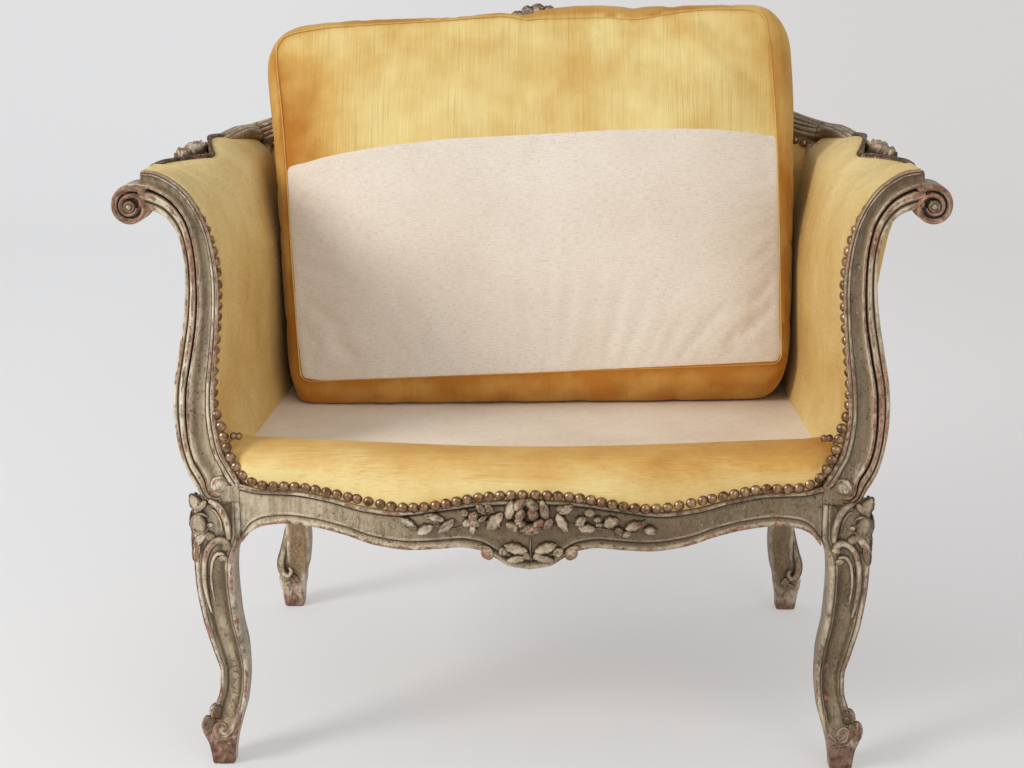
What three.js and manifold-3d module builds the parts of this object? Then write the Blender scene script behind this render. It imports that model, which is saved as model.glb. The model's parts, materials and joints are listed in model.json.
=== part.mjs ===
// Wide bergere chair in the marquise form: carved and painted wood frame on four cabriole legs,
// scrolled arm posts, velvet upholstery, a linen seat platform and one loose cushion that stands
// on its rear edge against the back. Millimetres, +X to the viewer's right, +Y to the back, +Z up.

import * as THREE from 'three';
import { mergeVertices } from 'three/addons/utils/BufferGeometryUtils.js';
import Module from 'manifold-3d';

const wasm = await Module();
wasm.setup();

// Driving dimensions of the frame
const frontFootX = 370; // middle of the chair to the centre of a front foot
const rearFootX = 365; // middle of the chair to the centre of a rear foot
const rearFootY = 531; // front feet to rear feet
const rearPostY = 478; // front feet to the rear posts at the height of the seat
const legTop = 331; // floor to the seat of the arm posts on the front legs
const railRise = 31; // leg tops to the tacking edge of the seat rails
const postHeight = 386; // an arm post, from the leg to its highest moulding
const crestRise = 143; // the crest's middle above its ends
const crestBow = 56; // the crest's middle behind its ends
const railBow = 28; // the front rail's middle in front of its ends
const fitGap = 0.3; // clearance of every seat, shoulder and tenon

// Sections of the frame
const blockInner = 33; // foot centre to the inner faces of a leg block
const blockOuter = 22; // foot centre to the outer faces of a leg block
const railSet = 7; // rail faces behind the outer faces of the leg blocks
const railBackY = 30; // back face of the front rail
const sideRailThick = 42;
const rearRailThick = 28;
const tackingStep = 9; // tacking band behind the rail's moulding
const postDepth = 45; // an arm post, front to back
const postFrontY = -16;
const stileHalf = 17; // half the width of a back post
const armRailWidth = 28;
const crestDepth = 29;
const mouldingHeight = 28; // moulded band of the crest above its tacking band
const tackingHeight = 20; // tacking band of crest and arm rails
const tenonThick = 12;
const tenonLength = 22;
const tenonHeight = 30;
const tackRailGap = 30; // seat rails to the rails that the inside covers are tacked to
const tackRailHeight = 34;
const cornerBlockReach = 62;
const cornerBlockHeight = 34;
const drawnLegTop = 331; // the height that the outlines of the legs are drawn at

// Upholstery
const webThick = 1.6;
const webWidth = 60;
const longWebPitch = 132;
const crossWebPitch = 92;
const hessianThick = 1.2;
const deckRise = 17; // seat rails to the top of the linen platform
const rollRise = 32; // seat rails to the crown of the front edge roll
const armPadThick = 24;
const armPadInset = 42; // foot centre to the face of an inside arm, at the back of the platform
const backPadSwell = 34; // fullness of the back pad in its middle
const outerPanelThick = 4;

// Loose cushion
const cushionSideGap = 4; // to the inside arms when it lies flat
const cushionFlare = 42; // its front edge, which points up here, is wider by this
const cushionLength = 474;
const cushionThick = 104;
const cushionCrown = 9; // rise of its two faces in the middle
const cushionDrawIn = 5; // sides pulled in between their corners
const cushionBulge = 14; // front and rear edges swelled between their seams
const cushionLean = 19; // degrees
const cushionTilt = 2.3; // degrees, its right corner stands higher than its left
const cushionFootX = 12; // middle of its lower edge beside the middle of the chair
const cushionFootY = 258; // front feet to its lower front seam
const cushionFootRise = 42; // seat platform to its lower front seam

const rad = THREE.MathUtils.degToRad;

// Value at x of a smooth line through [x, value] pairs
function smoothValue(table, x) {
  const last = table.length - 1;
  if (x <= table[0][0]) return table[0][1];
  if (x >= table[last][0]) return table[last][1];
  let i = 0;
  while (x > table[i + 1][0]) i += 1;
  const secant = (k) => (table[k + 1][1] - table[k][1]) / (table[k + 1][0] - table[k][0]);
  const slope = (k) => {
    if (k === 0) return secant(0);
    if (k === last) return secant(last - 1);
    const product = secant(k - 1) * secant(k);
    return product > 0 ? (2 * product) / (secant(k - 1) + secant(k)) : 0;
  };
  const [x0, v0] = table[i];
  const [x1, v1] = table[i + 1];
  const span = x1 - x0;
  const t = (x - x0) / span;
  const s = 1 - t;
  return (
    v0 * (1 + 2 * t) * s * s + v1 * (3 - 2 * t) * t * t + span * t * s * (slope(i) * s - slope(i + 1) * t)
  );
}

// Smooth curve through 3-D points
function curveThrough(points) {
  return new THREE.CatmullRomCurve3(points.map((p) => new THREE.Vector3(...p)), false, 'centripetal');
}

// Evenly spread values from a to b
function spread(a, b, count) {
  return Array.from({ length: count + 1 }, (_, i) => a + ((b - a) * i) / count);
}

// Triangles that close a ring, in the ring's own order
function capTriangles(ring) {
  const normal = new THREE.Vector3();
  ring.forEach((p, i) => {
    const q = ring[(i + 1) % ring.length];
    normal.x += (p.y - q.y) * (p.z + q.z);
    normal.y += (p.z - q.z) * (p.x + q.x);
    normal.z += (p.x - q.x) * (p.y + q.y);
  });
  normal.normalize();
  const side = new THREE.Vector3(1, 0, 0);
  if (Math.abs(normal.x) > 0.8) side.set(0, 1, 0);
  const u = side.clone().cross(normal).normalize();
  const v = normal.clone().cross(u);
  const flat = ring.map((p) => new THREE.Vector2(p.dot(u), p.dot(v)));
  return THREE.ShapeUtils.triangulateShape(flat, []).map(([a, b, c]) => {
    const turn = flat[b].clone().sub(flat[a]).cross(flat[c].clone().sub(flat[a]));
    return turn > 0 ? [a, b, c] : [a, c, b];
  });
}

// Closed solid skinned over rings of equal point counts
function loft(rings) {
  const size = rings[0].length;
  const faces = [];
  for (let r = 0; r + 1 < rings.length; r += 1) {
    for (let i = 0; i < size; i += 1) {
      const a = r * size + i;
      const b = r * size + ((i + 1) % size);
      faces.push([a, b, b + size], [a, b + size, a + size]);
    }
  }
  const end = (rings.length - 1) * size;
  capTriangles(rings[0]).forEach(([a, b, c]) => faces.push([a, c, b]));
  capTriangles(rings.at(-1)).forEach(([a, b, c]) => faces.push([a + end, b + end, c + end]));
  const points = rings.flat();
  const volume = faces.reduce((sum, [a, b, c]) => {
    const cross = points[b].clone().cross(points[c]);
    return sum + points[a].dot(cross);
  }, 0);
  const outward = volume > 0 ? faces : faces.map(([a, b, c]) => [a, c, b]);
  const geometry = new THREE.BufferGeometry().setFromPoints(points);
  geometry.setIndex(outward.flat());
  return geometry;
}

// Solid that follows a path, its section given as [aside, up] pairs at each fraction of the path
function sweep(path, steps, sectionAt) {
  const rings = spread(0, 1, steps).map((t) => {
    const place = path.getPoint(t);
    const along = path.getTangent(t);
    const aside = new THREE.Vector3(along.y, -along.x, 0).normalize();
    const up = aside.clone().cross(along);
    return sectionAt(t).map(([a, b]) => place.clone().addScaledVector(aside, a).addScaledVector(up, b));
  });
  return loft(rings);
}

// Geometry to manifold solid and back
function toSolid(geometry) {
  const bare = new THREE.BufferGeometry();
  bare.setAttribute('position', geometry.getAttribute('position'));
  bare.setIndex(geometry.getIndex());
  const merged = mergeVertices(bare, 1e-4);
  return new wasm.Manifold(
    new wasm.Mesh({
      numProp: 3,
      vertProperties: new Float32Array(merged.attributes.position.array),
      triVerts: new Uint32Array(merged.index.array),
    }),
  );
}

function toGeometry(solid) {
  const mesh = solid.getMesh();
  const geometry = new THREE.BufferGeometry();
  geometry.setAttribute('position', new THREE.BufferAttribute(mesh.vertProperties, 3));
  geometry.setIndex(new THREE.BufferAttribute(mesh.triVerts, 1));
  return geometry;
}

function join(first, ...rest) {
  return toGeometry(rest.reduce((sum, next) => sum.add(toSolid(next)), toSolid(first)));
}

function cut(first, ...tools) {
  return toGeometry(tools.reduce((sum, tool) => sum.subtract(toSolid(tool)), toSolid(first)));
}

// Largest single body left of a solid
function largestBody(solid) {
  const bodies = solid.decompose();
  return bodies.reduce((best, next) => (next.volume() > best.volume() ? next : best), bodies[0]);
}

// Copy with every face moved out by a clearance, each corner placed by the planes that meet there
function swollen(geometry, amount) {
  const bare = new THREE.BufferGeometry();
  bare.setAttribute('position', geometry.getAttribute('position').clone());
  bare.setIndex(geometry.getIndex());
  const grown = mergeVertices(bare, 1e-3);
  const position = grown.getAttribute('position');
  const index = grown.getIndex().array;
  const at = (k) => new THREE.Vector3().fromBufferAttribute(position, k);
  const emptySum = () => ({ planes: new Array(9).fill(0), push: new THREE.Vector3() });
  const sums = Array.from({ length: position.count }, emptySum);
  for (let f = 0; f < index.length; f += 3) {
    const [a, b, c] = [at(index[f]), at(index[f + 1]), at(index[f + 2])];
    const normal = b.sub(a).cross(c.sub(a));
    const area = normal.length();
    if (area < 1e-6) continue;
    const n = normal.divideScalar(area).toArray();
    for (let corner = 0; corner < 3; corner += 1) {
      const sum = sums[index[f + corner]];
      sum.push.addScaledVector(normal, area * amount);
      for (let k = 0; k < 9; k += 1) sum.planes[k] += area * n[Math.floor(k / 3)] * n[k % 3];
    }
  }
  sums.forEach(({ planes, push }, k) => {
    const trace = planes[0] + planes[4] + planes[8];
    if (trace === 0) return;
    const soft = 2e-3 * trace;
    [0, 4, 8].forEach((d) => {
      planes[d] += soft;
    });
    const move = push.applyMatrix3(new THREE.Matrix3().fromArray(planes).invert());
    move.clampLength(0, 2.5 * amount);
    position.setXYZ(k, ...at(k).add(move));
  });
  return grown;
}

// Soft piece cut back from the harder pieces that it lies against
function yielding(soft, ...neighbours) {
  const tools = neighbours.flatMap((n) => [toSolid(swollen(n, 1.5 * fitGap)), toSolid(n)]);
  const rest = tools.reduce((sum, tool) => sum.subtract(tool), toSolid(soft));
  return toGeometry(largestBody(rest));
}

function mirrored(geometry) {
  const copy = geometry.clone().applyMatrix4(new THREE.Matrix4().makeScale(-1, 1, 1));
  const index = copy.getIndex().array;
  for (let i = 0; i < index.length; i += 3) [index[i + 1], index[i + 2]] = [index[i + 2], index[i + 1]];
  return copy;
}

// Box between two corners
function boxBetween([x0, y0, z0], [x1, y1, z1]) {
  const box = new THREE.BoxGeometry(x1 - x0, y1 - y0, z1 - z0);
  return box.translate((x0 + x1) / 2, (y0 + y1) / 2, (z0 + z1) / 2);
}

function swollenBox(low, high) {
  return boxBetween(low.map((v) => v - fitGap), high.map((v) => v + fitGap));
}

// Round button with its axis front to back
function button(x, z, radius, frontY, backY, sides) {
  const disc = new THREE.CylinderGeometry(radius, radius, backY - frontY, sides);
  return disc.translate(x, 0, 0).translate(0, (frontY + backY) / 2, 0).translate(0, 0, z);
}

// Levels that follow from the driving dimensions
const legInnerX = frontFootX - blockInner;
const railFaceY = railSet - blockOuter;
const postBackY = postFrontY + postDepth;
const railTop = legTop + railRise;
const tackRailLow = railTop + tackRailGap;
const tackRailHigh = tackRailLow + tackRailHeight;
const deckTop = railTop + deckRise;
const rollTop = railTop + rollRise;
const armTop = legTop + postHeight;
const crestEndTop = armTop + 2;
const crestEndX = rearFootX + 28;
const frontRailHalf = legInnerX - fitGap;
const sideRailOuterX = frontFootX + blockOuter - railSet;
const sideRailInnerX = sideRailOuterX - sideRailThick;
const padBottom = railTop + 2 * webThick + hessianThick + 2;

// A height on the drawn outline of a leg, taken to the leg's own height
function onLeg(height) {
  return (height / drawnLegTop) * legTop;
}

function tableOnLeg(table) {
  return table.map(([height, value]) => [onLeg(height), value]);
}

// Half widths of a front leg by height, outwards and inwards from the centre of its foot
const legOuter = tableOnLeg([
  [0, 14],
  [26, 18],
  [40, 21],
  [50, 20],
  [75, 8.5],
  [95, 3],
  [115, 2.5],
  [140, 7.5],
  [190, 17.5],
  [240, 22.5],
  [275, 23],
  [drawnLegTop, blockOuter],
]);
const legInner = tableOnLeg([
  [0, 13.5],
  [26, 17],
  [50, 22],
  [75, 28],
  [115, 31.5],
  [140, 31],
  [190, 25],
  [240, 23],
  [262, 24],
  [285, 31],
  [294, blockInner],
  [drawnLegTop, blockInner],
]);
const legChannel = tableOnLeg([
  [58, 0],
  [78, 3.5],
  [220, 3.5],
  [248, 0],
]);
const blockStep = tableOnLeg([
  [258, 0],
  [285, railSet],
  [drawnLegTop, railSet],
]);
const legHeights = [0, 26, 34, 42, 50, 60, 75, 92, 115, 140, 170, 200, 228, 250, 266, 280, 294];
const legLevels = legHeights.map(onLeg);

// Square section with a ridge along each edge and a channel between the ridges of its two show faces
function channelledSquare(inner, outer, channel, step) {
  const edge = 3;
  const ridge = 9;
  const slope = 4;
  const front = [
    [-inner, edge + step],
    [edge - inner, step],
    [ridge - inner, step],
    [ridge + slope - inner, step + channel],
    [outer - ridge - slope, channel],
    [outer - ridge, 0],
    [outer - edge, 0],
  ].map(([x, depth]) => [x, depth - outer]);
  const side = front.map(([x, y]) => [-y, -x]).reverse();
  const back = [
    [outer - step - edge, inner],
    [edge - inner, inner],
    [-inner, inner - edge],
  ];
  return [...front, ...side, ...back];
}

// Tenons, each from its shoulder into the piece that takes it
const frontRailTenon = [
  [legInnerX - 2, 1, legTop - 38],
  [legInnerX + tenonLength, 1 + tenonThick, legTop - 38 + tenonHeight],
];
const sideRailFrontTenon = [
  [frontFootX - tenonThick / 2, blockInner - tenonLength, legTop - 38],
  [frontFootX + tenonThick / 2, blockInner + 2, legTop - 38 + tenonHeight],
];
const postTenon = [
  [frontFootX - 2, postFrontY + 6, legTop - tenonLength],
  [frontFootX + 16, postFrontY + 6 + tenonThick, legTop + 2],
];

function frontLeg() {
  const rings = [...legLevels, legTop - fitGap].map((z) => {
    const inner = smoothValue(legInner, z);
    const outer = smoothValue(legOuter, z);
    const section = channelledSquare(inner, outer, smoothValue(legChannel, z), smoothValue(blockStep, z));
    return section.map(([x, y]) => new THREE.Vector3(frontFootX + x, y, z));
  });
  const scrollZ = onLeg(43);
  const scrollRadius = 8;
  const reach = smoothValue(legOuter, scrollZ) + 2.5;
  const frontScroll = button(frontFootX - 1, scrollZ, scrollRadius, -reach, 0, 10);
  const sideScroll = new THREE.CylinderGeometry(scrollRadius, scrollRadius, reach, 10);
  sideScroll.rotateZ(Math.PI / 2).translate(frontFootX + reach / 2, 1, scrollZ);
  const tenons = [frontRailTenon, sideRailFrontTenon, postTenon];
  const mortises = tenons.map(([low, high]) => swollenBox(low, high));
  return cut(join(loft(rings), frontScroll, sideScroll), ...mortises);
}

// Centre and half width of a rear leg and its back post by height
const rearLegShift = [
  ...tableOnLeg([
    [0, 0],
    [45, 2],
    [75, -7],
    [116, -9],
    [280, -2],
  ]),
  [railTop, -2],
  [armTop - 217, 9],
  [armTop, 24],
];
const rearLegRake = [
  ...tableOnLeg([
    [0, 1],
    [50, 0.96],
    [116, 0.66],
    [180, 0.38],
    [250, 0.08],
    [290, 0],
  ]),
  [railTop, 0],
];
const backLean = [
  [railTop, 0],
  [armTop, 33],
];
const rearLegHalf = [
  ...tableOnLeg([
    [0, 14],
    [26, 17],
    [45, 21],
    [75, 19],
    [180, 20],
    [250, 23],
    [290, 25],
  ]),
  [railTop, 25],
  [railTop + 14, stileHalf],
  [armTop, stileHalf],
];
const rearLegHeights = [0, 12, 26, 36, 45, 56, 75, 95, 116, 150, 180, 215, 250, 290];

function backPostY(z) {
  return rearPostY + smoothValue(backLean, z) + (rearFootY - rearPostY) * smoothValue(rearLegRake, z);
}

function backPostX(z) {
  return rearFootX + smoothValue(rearLegShift, z);
}

function roundedSquare(half, edge) {
  const e = half - edge;
  return [
    [-e, -half],
    [e, -half],
    [half, -e],
    [half, e],
    [e, half],
    [-e, half],
    [-half, e],
    [-half, -e],
  ];
}

const sideRailRearTenon = [
  [rearFootX - 2 - tenonThick / 2, rearPostY - 27, legTop - 38],
  [rearFootX - 2 + tenonThick / 2, rearPostY - 25 + tenonLength, legTop - 38 + tenonHeight],
];
const rearRailTenon = [
  [rearFootX - 29, rearPostY + 2, legTop - 38],
  [rearFootX - 27 + tenonLength, rearPostY + 2 + tenonThick, legTop - 38 + tenonHeight],
];
const backRailTenon = [
  [rearFootX - stileHalf - 10, rearPostY - 2, tackRailLow + 5],
  [rearFootX - stileHalf + 14, rearPostY - 2 + tenonThick, tackRailHigh - 6],
];

function rearLegPost() {
  const levels = [...rearLegHeights.map(onLeg), railTop, ...spread(railTop + 14, armTop - 26.5, 5)];
  const rings = levels.map((z) => {
    const section = roundedSquare(smoothValue(rearLegHalf, z), 4);
    return section.map(([x, y]) => new THREE.Vector3(backPostX(z) + x, backPostY(z) + y, z));
  });
  const tenons = [sideRailRearTenon, rearRailTenon, backRailTenon];
  const mortises = tenons.map(([low, high]) => swollenBox(low, high));
  return cut(loft(rings), ...mortises);
}

// Front rail: how far its face stands forward, and its two show edges, by distance from the middle
function frontRailFaceY(x) {
  return railFaceY - (railBow / 2) * (1 + Math.cos((Math.PI * x) / frontRailHalf));
}

// Upper moulding below the tacking edge, and lower edge below it, by share of the half length
const frontRailUpper = [
  [0, 16],
  [0.15, 19],
  [0.3, 27],
  [0.46, 35],
  [0.56, 32],
  [0.7, 21],
  [0.82, 15],
  [0.93, 14],
  [1, 9],
];
const frontRailLower = [
  [0, 101],
  [0.07, 97],
  [0.115, 88],
  [0.165, 79],
  [0.23, 76],
  [0.31, 79],
  [0.42, 82],
  [0.53, 78],
  [0.64, 67],
  [0.75, 59],
  [0.84, 56],
  [0.92, 59],
  [0.965, 66],
  [1, 80],
];

// Moulded rail section, face to the left: [depth behind the face, height]
function mouldedRail(upper, lower, top, thick) {
  return [
    [thick, top],
    [tackingStep, top],
    [tackingStep, upper],
    [1, upper],
    [-2, upper - 3],
    [-1, upper - 6],
    [2, upper - 8],
    [1, upper - 10],
    [1, lower + 10],
    [2, lower + 8],
    [-1.5, lower + 4],
    [2, lower],
    [thick, lower],
  ];
}

// Carved rose, leaves and the two curls that end the drop at the middle of the front rail
function frontRailCarving() {
  const faceY = frontRailFaceY(0);
  const bloom = (x, z, wide, high, rise) => {
    const petal = new THREE.SphereGeometry(1, 6, 5);
    return petal.scale(wide, rise, high).translate(x, faceY + 1, z);
  };
  const roseZ = railTop - 42;
  const petals = spread(0, 2 * Math.PI, 6)
    .slice(0, 6)
    .map((angle) => bloom(14 * Math.sin(angle), roseZ + 12 * Math.cos(angle), 10, 9, 7));
  const leaves = [-1, 1].flatMap((side) => [
    bloom(side * 38, roseZ + 3, 14, 7, 6).translate(0, 1, 0),
    bloom(side * 66, roseZ - 8, 9, 9, 6).translate(0, 2, 0),
    bloom(side * 92, roseZ - 8, 13, 6, 5).translate(0, 3, 0),
    bloom(side * 13, roseZ - 36, 12, 8, 5),
  ]);
  const curls = [-1, 1].map((side) => button(side * 48, railTop - 81, 7, faceY - 2, faceY + 24, 12));
  return [bloom(0, roseZ, 11, 10, 10), ...petals, ...leaves, ...curls];
}

const frontStations = spread(-frontRailHalf, frontRailHalf, 36);

function frontRail() {
  const rings = frontStations.map((x) => {
    const share = Math.abs(x) / frontRailHalf;
    const upper = railTop - smoothValue(frontRailUpper, share);
    const lower = railTop - smoothValue(frontRailLower, share);
    const faceY = frontRailFaceY(x);
    const section = mouldedRail(upper, lower, railTop, railBackY - faceY);
    return section.map(([depth, z]) => new THREE.Vector3(x, faceY + depth, z));
  });
  const tenon = boxBetween(...frontRailTenon);
  return join(loft(rings), ...frontRailCarving(), tenon, mirrored(tenon));
}

// Side rail, its lower edge by share of its length
const sideRailLower = [
  [0, 80],
  [0.1, 64],
  [0.25, 60],
  [0.5, 72],
  [0.75, 60],
  [0.9, 66],
  [1, 82],
];
const sideRailBow = 5;
const sideRailFront = blockInner + fitGap;
const sideRailBack = rearPostY - 25 - fitGap;

function sideRailOuter(y) {
  const share = (y - sideRailFront) / (sideRailBack - sideRailFront);
  const taper = (frontFootX - rearFootX) * share;
  return sideRailOuterX - taper + sideRailBow * Math.sin(Math.PI * share);
}

function sideRail() {
  const rings = spread(sideRailFront, sideRailBack, 14).map((y) => {
    const share = (y - sideRailFront) / (sideRailBack - sideRailFront);
    const lower = railTop - smoothValue(sideRailLower, share);
    const faceX = sideRailOuter(y);
    const section = mouldedRail(railTop - 12, lower, railTop, faceX - sideRailInnerX);
    return section.map(([depth, z]) => new THREE.Vector3(faceX - depth, y, z));
  });
  return join(loft(rings), boxBetween(...sideRailFrontTenon), boxBetween(...sideRailRearTenon));
}

function rearRail() {
  const half = rearFootX - 27 - fitGap;
  const front = rearPostY - rearRailThick / 2;
  const rail = boxBetween([-half, front, legTop - 40], [half, front + rearRailThick, railTop]);
  const tenon = boxBetween(...rearRailTenon);
  return join(rail, tenon, mirrored(tenon));
}

function backRail() {
  const half = backPostX(tackRailLow) - stileHalf - fitGap;
  const rail = boxBetween([-half, rearPostY - 8, tackRailLow], [half, rearPostY + 14, tackRailHigh]);
  const tenon = boxBetween(...backRailTenon);
  return join(rail, tenon, mirrored(tenon));
}

// Edges of an arm post in its front view: [outwards from the foot's centre, share of its height]
const postOuter = [
  [18, 0.044],
  [29, 0.098],
  [36, 0.166],
  [40, 0.256],
  [39, 0.347],
  [32, 0.451],
  [24, 0.562],
  [19.5, 0.671],
  [21, 0.762],
  [28, 0.826],
  [41, 0.868],
  [58, 0.885],
  [66, 0.889],
];
const postRidge = [
  [6, 0.08],
  [16, 0.13],
  [21.5, 0.184],
  [23, 0.262],
  [21, 0.35],
  [13.5, 0.448],
  [6, 0.562],
  [4, 0.673],
  [6, 0.775],
  [14, 0.86],
  [31, 0.92],
  [52, 0.951],
  [67, 0.958],
];
const postInner = [
  [-24, 0.104],
  [-16, 0.145],
  [-11, 0.194],
  [-7.5, 0.267],
  [-8.5, 0.355],
  [-12, 0.443],
  [-16, 0.557],
  [-18, 0.671],
  [-13.5, 0.78],
  [-4, 0.863],
  [16, 0.946],
  [44, 0.994],
  [60, 1],
];

function postEdge(table) {
  return curveThrough(table.map(([out, share]) => [frontFootX + out, 0, legTop + share * postHeight]));
}

// Mouldings across a post: [share of the way between two edges, depth behind the front]
const outerMoulding = [
  [0, 8],
  [0.1, 2],
  [0.35, 0],
  [0.6, 2],
  [0.8, 5.5],
  [0.92, 1],
  [1, 0],
];
const innerMoulding = [
  [0.08, 1],
  [0.28, 5.5],
  [0.55, 6],
  [0.76, 3.5],
  [0.86, 2],
  [1, 4],
];

// Scroll at the top of a post: radius to its rim and thickness of its band by turn in degrees
const scrollRim = [
  [-40, 29],
  [0, 25],
  [45, 22.5],
  [90, 20.5],
  [180, 19.3],
  [270, 17],
  [360, 12.8],
  [480, 9.5],
];
const scrollBand = [
  [-40, 11],
  [0, 8],
  [90, 6],
  [270, 5],
  [480, 4],
];
const scrollX = frontFootX + 83;
const scrollZ = legTop + 0.899 * postHeight;

function armPost() {
  const [outer, ridge, inner] = [postOuter, postRidge, postInner].map(postEdge);
  const strips = spread(0, 1, 18).map((t) => {
    const [o, r, i] = [outer, ridge, inner].map((edge) => edge.getPoint(t));
    const face = outerMoulding.map(([share, depth]) => o.clone().lerp(r, share).setY(postFrontY + depth));
    const cove = innerMoulding.map(([share, depth]) => r.clone().lerp(i, share).setY(postFrontY + depth));
    return [...face, ...cove, i.clone().setY(postBackY), o.clone().setY(postBackY)];
  });
  const band = spread(-40, 480, 16).map((turn) => {
    const rim = smoothValue(scrollRim, turn);
    const thick = smoothValue(scrollBand, turn);
    const at = (radius, y) =>
      new THREE.Vector3(scrollX + radius * Math.sin(rad(turn)), y, scrollZ + radius * Math.cos(rad(turn)));
    return [
      at(rim, postBackY - 0.5),
      at(rim, postFrontY + 2),
      at(rim - thick / 2, postFrontY),
      at(rim - thick, postFrontY + 2),
      at(rim - thick, postBackY - 0.5),
    ];
  });
  const core = button(scrollX, scrollZ, 16, postFrontY + 6, postBackY - 1, 14);
  const eye = button(scrollX, scrollZ, 5.5, postFrontY + 1, postFrontY + 10, 10);
  const footScroll = button(frontFootX - 7, legTop + 19.5, 19.5, postFrontY + 2, postBackY - 1, 16);
  const footEye = button(frontFootX - 9, legTop + 22, 9, postFrontY - 3, postFrontY + 4, 12);
  const foot = new THREE.Shape();
  foot.moveTo(-blockInner + fitGap, 0);
  foot.lineTo(12, 0);
  foot.lineTo(20, 20);
  foot.lineTo(8, 36);
  foot.lineTo(-22, 42);
  foot.lineTo(-blockInner + fitGap, 29);
  const block = new THREE.ExtrudeGeometry(foot, { depth: postDepth - 5, bevelEnabled: false });
  block.rotateX(Math.PI / 2).translate(frontFootX, postBackY - 0.7, legTop);
  const dowelHole = armRailDowel(fitGap);
  const whole = join(mergeVertices(block.deleteAttribute('normal').deleteAttribute('uv')), loft(strips));
  const scrolled = join(whole, loft(band), core, eye, footScroll, footEye);
  const below = boxBetween([0, -100, 0], [2 * frontFootX, 100, legTop]);
  return cut(join(cut(scrolled, below), boxBetween(...postTenon)), dowelHole);
}

// Top of the crest and arm rails from the middle round to the right post: across, depth, height
const crestPoints = [
  [0, 1, 1],
  [0.153, 0.98, 0.965],
  [0.305, 0.93, 0.853],
  [0.458, 0.84, 0.671],
  [0.611, 0.71, 0.448],
  [0.763, 0.53, 0.245],
  [0.891, 0.3, 0.098],
  [1, 0, 0],
].map(([share, back, rise]) => [share * crestEndX, back, rise]);
const crestEndY = rearPostY + 26;
const armRailPoints = [
  [crestEndX, crestEndY, crestEndTop],
  [frontFootX + 38, rearPostY, crestEndTop - 1],
  [frontFootX + 48, rearPostY - 38, crestEndTop - 4],
  [frontFootX + 55, rearPostY - 88, crestEndTop - 9],
  [frontFootX + 58, rearPostY - 158, crestEndTop - 13.5],
  [frontFootX + 60, rearPostY - 228, crestEndTop - 15],
  [frontFootX + 61, rearPostY - 298, crestEndTop - 15.5],
  [frontFootX + 60, rearPostY - 378, crestEndTop - 12],
  [frontFootX + 58, postBackY - 6, armTop - 2],
];
const jointRun = crestPoints.length - 1;
const topRailHalf = [
  ...crestPoints.map(([x, back, rise]) => [x, crestEndY + back * crestBow, crestEndTop + rise * crestRise]),
  ...armRailPoints.slice(1),
];
const topRailPath = curveThrough([
  ...topRailHalf.slice(1).map(([x, y, z]) => [-x, y, z]).reverse(),
  ...topRailHalf,
]);
const pathSpans = 2 * (topRailHalf.length - 1);
const jointShare = 0.5 + jointRun / pathSpans;

// Moulded top rail: a band over a narrower tacking band, [towards the sitter, up]
function topRailSection(width, band) {
  const half = width / 2;
  const tack = half - 6;
  const deep = band + tackingHeight;
  return [
    [half - 4, 0],
    [half, -0.14 * band],
    [half, -0.28 * band],
    [half - 3.5, -0.4 * band],
    [half - 3.5, -0.62 * band],
    [half, -0.76 * band],
    [half, -0.9 * band],
    [tack, -band],
    [tack, -deep],
    [-tack, -deep],
    [-tack, -band],
    [-half, -0.85 * band],
    [-half, -0.2 * band],
    [4 - half, 0],
  ];
}

function topRailRun(from, to, steps) {
  const run = new THREE.Curve();
  run.getPoint = (t, target) => topRailPath.getPoint(from + t * (to - from), target);
  run.getTangent = (t) => topRailPath.getTangent(from + t * (to - from));
  const turnIn = 2 * jointShare - 1;
  const blend = [
    [0.88 * turnIn, 0],
    [1.12 * turnIn, 1],
  ];
  return sweep(run, steps, (t) => {
    const alongArm = smoothValue(blend, Math.abs(2 * (from + t * (to - from)) - 1));
    const width = crestDepth + alongArm * (armRailWidth - crestDepth);
    return topRailSection(width, mouldingHeight - 8 * alongArm);
  });
}

// Dowel that carries the end of the arm rail in the back of the post
function armRailDowel(clearance) {
  const [x, y, z] = topRailHalf.at(-1);
  const dowel = new THREE.CylinderGeometry(4 + clearance, 4 + clearance, 20 + 2 * clearance, 10);
  return dowel.translate(x - 6, y, z - 12);
}

// Nose that the arm rail turns in over the pad, with its carved leaf and bud
function armRailNose() {
  const [x, y, z] = armRailPoints[4];
  const lobe = (across, back, wide, long, high) => {
    const form = new THREE.SphereGeometry(1, 10, 6);
    return form.scale(wide, long, high).translate(x + across, y + back, z - 6);
  };
  return [lobe(-8, -6, 19, 36, 6), lobe(2, 27, 15, 24, 8), lobe(8, -32, 8, 13, 8)];
}

function armRail() {
  const step = fitGap / 2 / 60 / pathSpans;
  const rail = topRailRun(jointShare + step, 1, 12);
  const ahead = boxBetween([0, postFrontY, 0], [2 * frontFootX, postBackY + fitGap, 2 * armTop]);
  return join(cut(rail, ahead), ...armRailNose(), armRailDowel(0));
}

function crestRail() {
  const step = fitGap / 2 / 45 / pathSpans;
  const rail = topRailRun(1 - jointShare + step, jointShare - step, 24);
  const [x, y, z] = topRailHalf[0];
  const shell = (across, up, wide, high) => {
    const lobe = new THREE.SphereGeometry(1, 8, 6);
    return lobe.scale(wide, 8, high).translate(x + across, y - 9, z + up);
  };
  return join(rail, shell(0, 6, 13, 13), shell(-15, 0, 12, 9), shell(15, 0, 12, 9));
}

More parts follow.
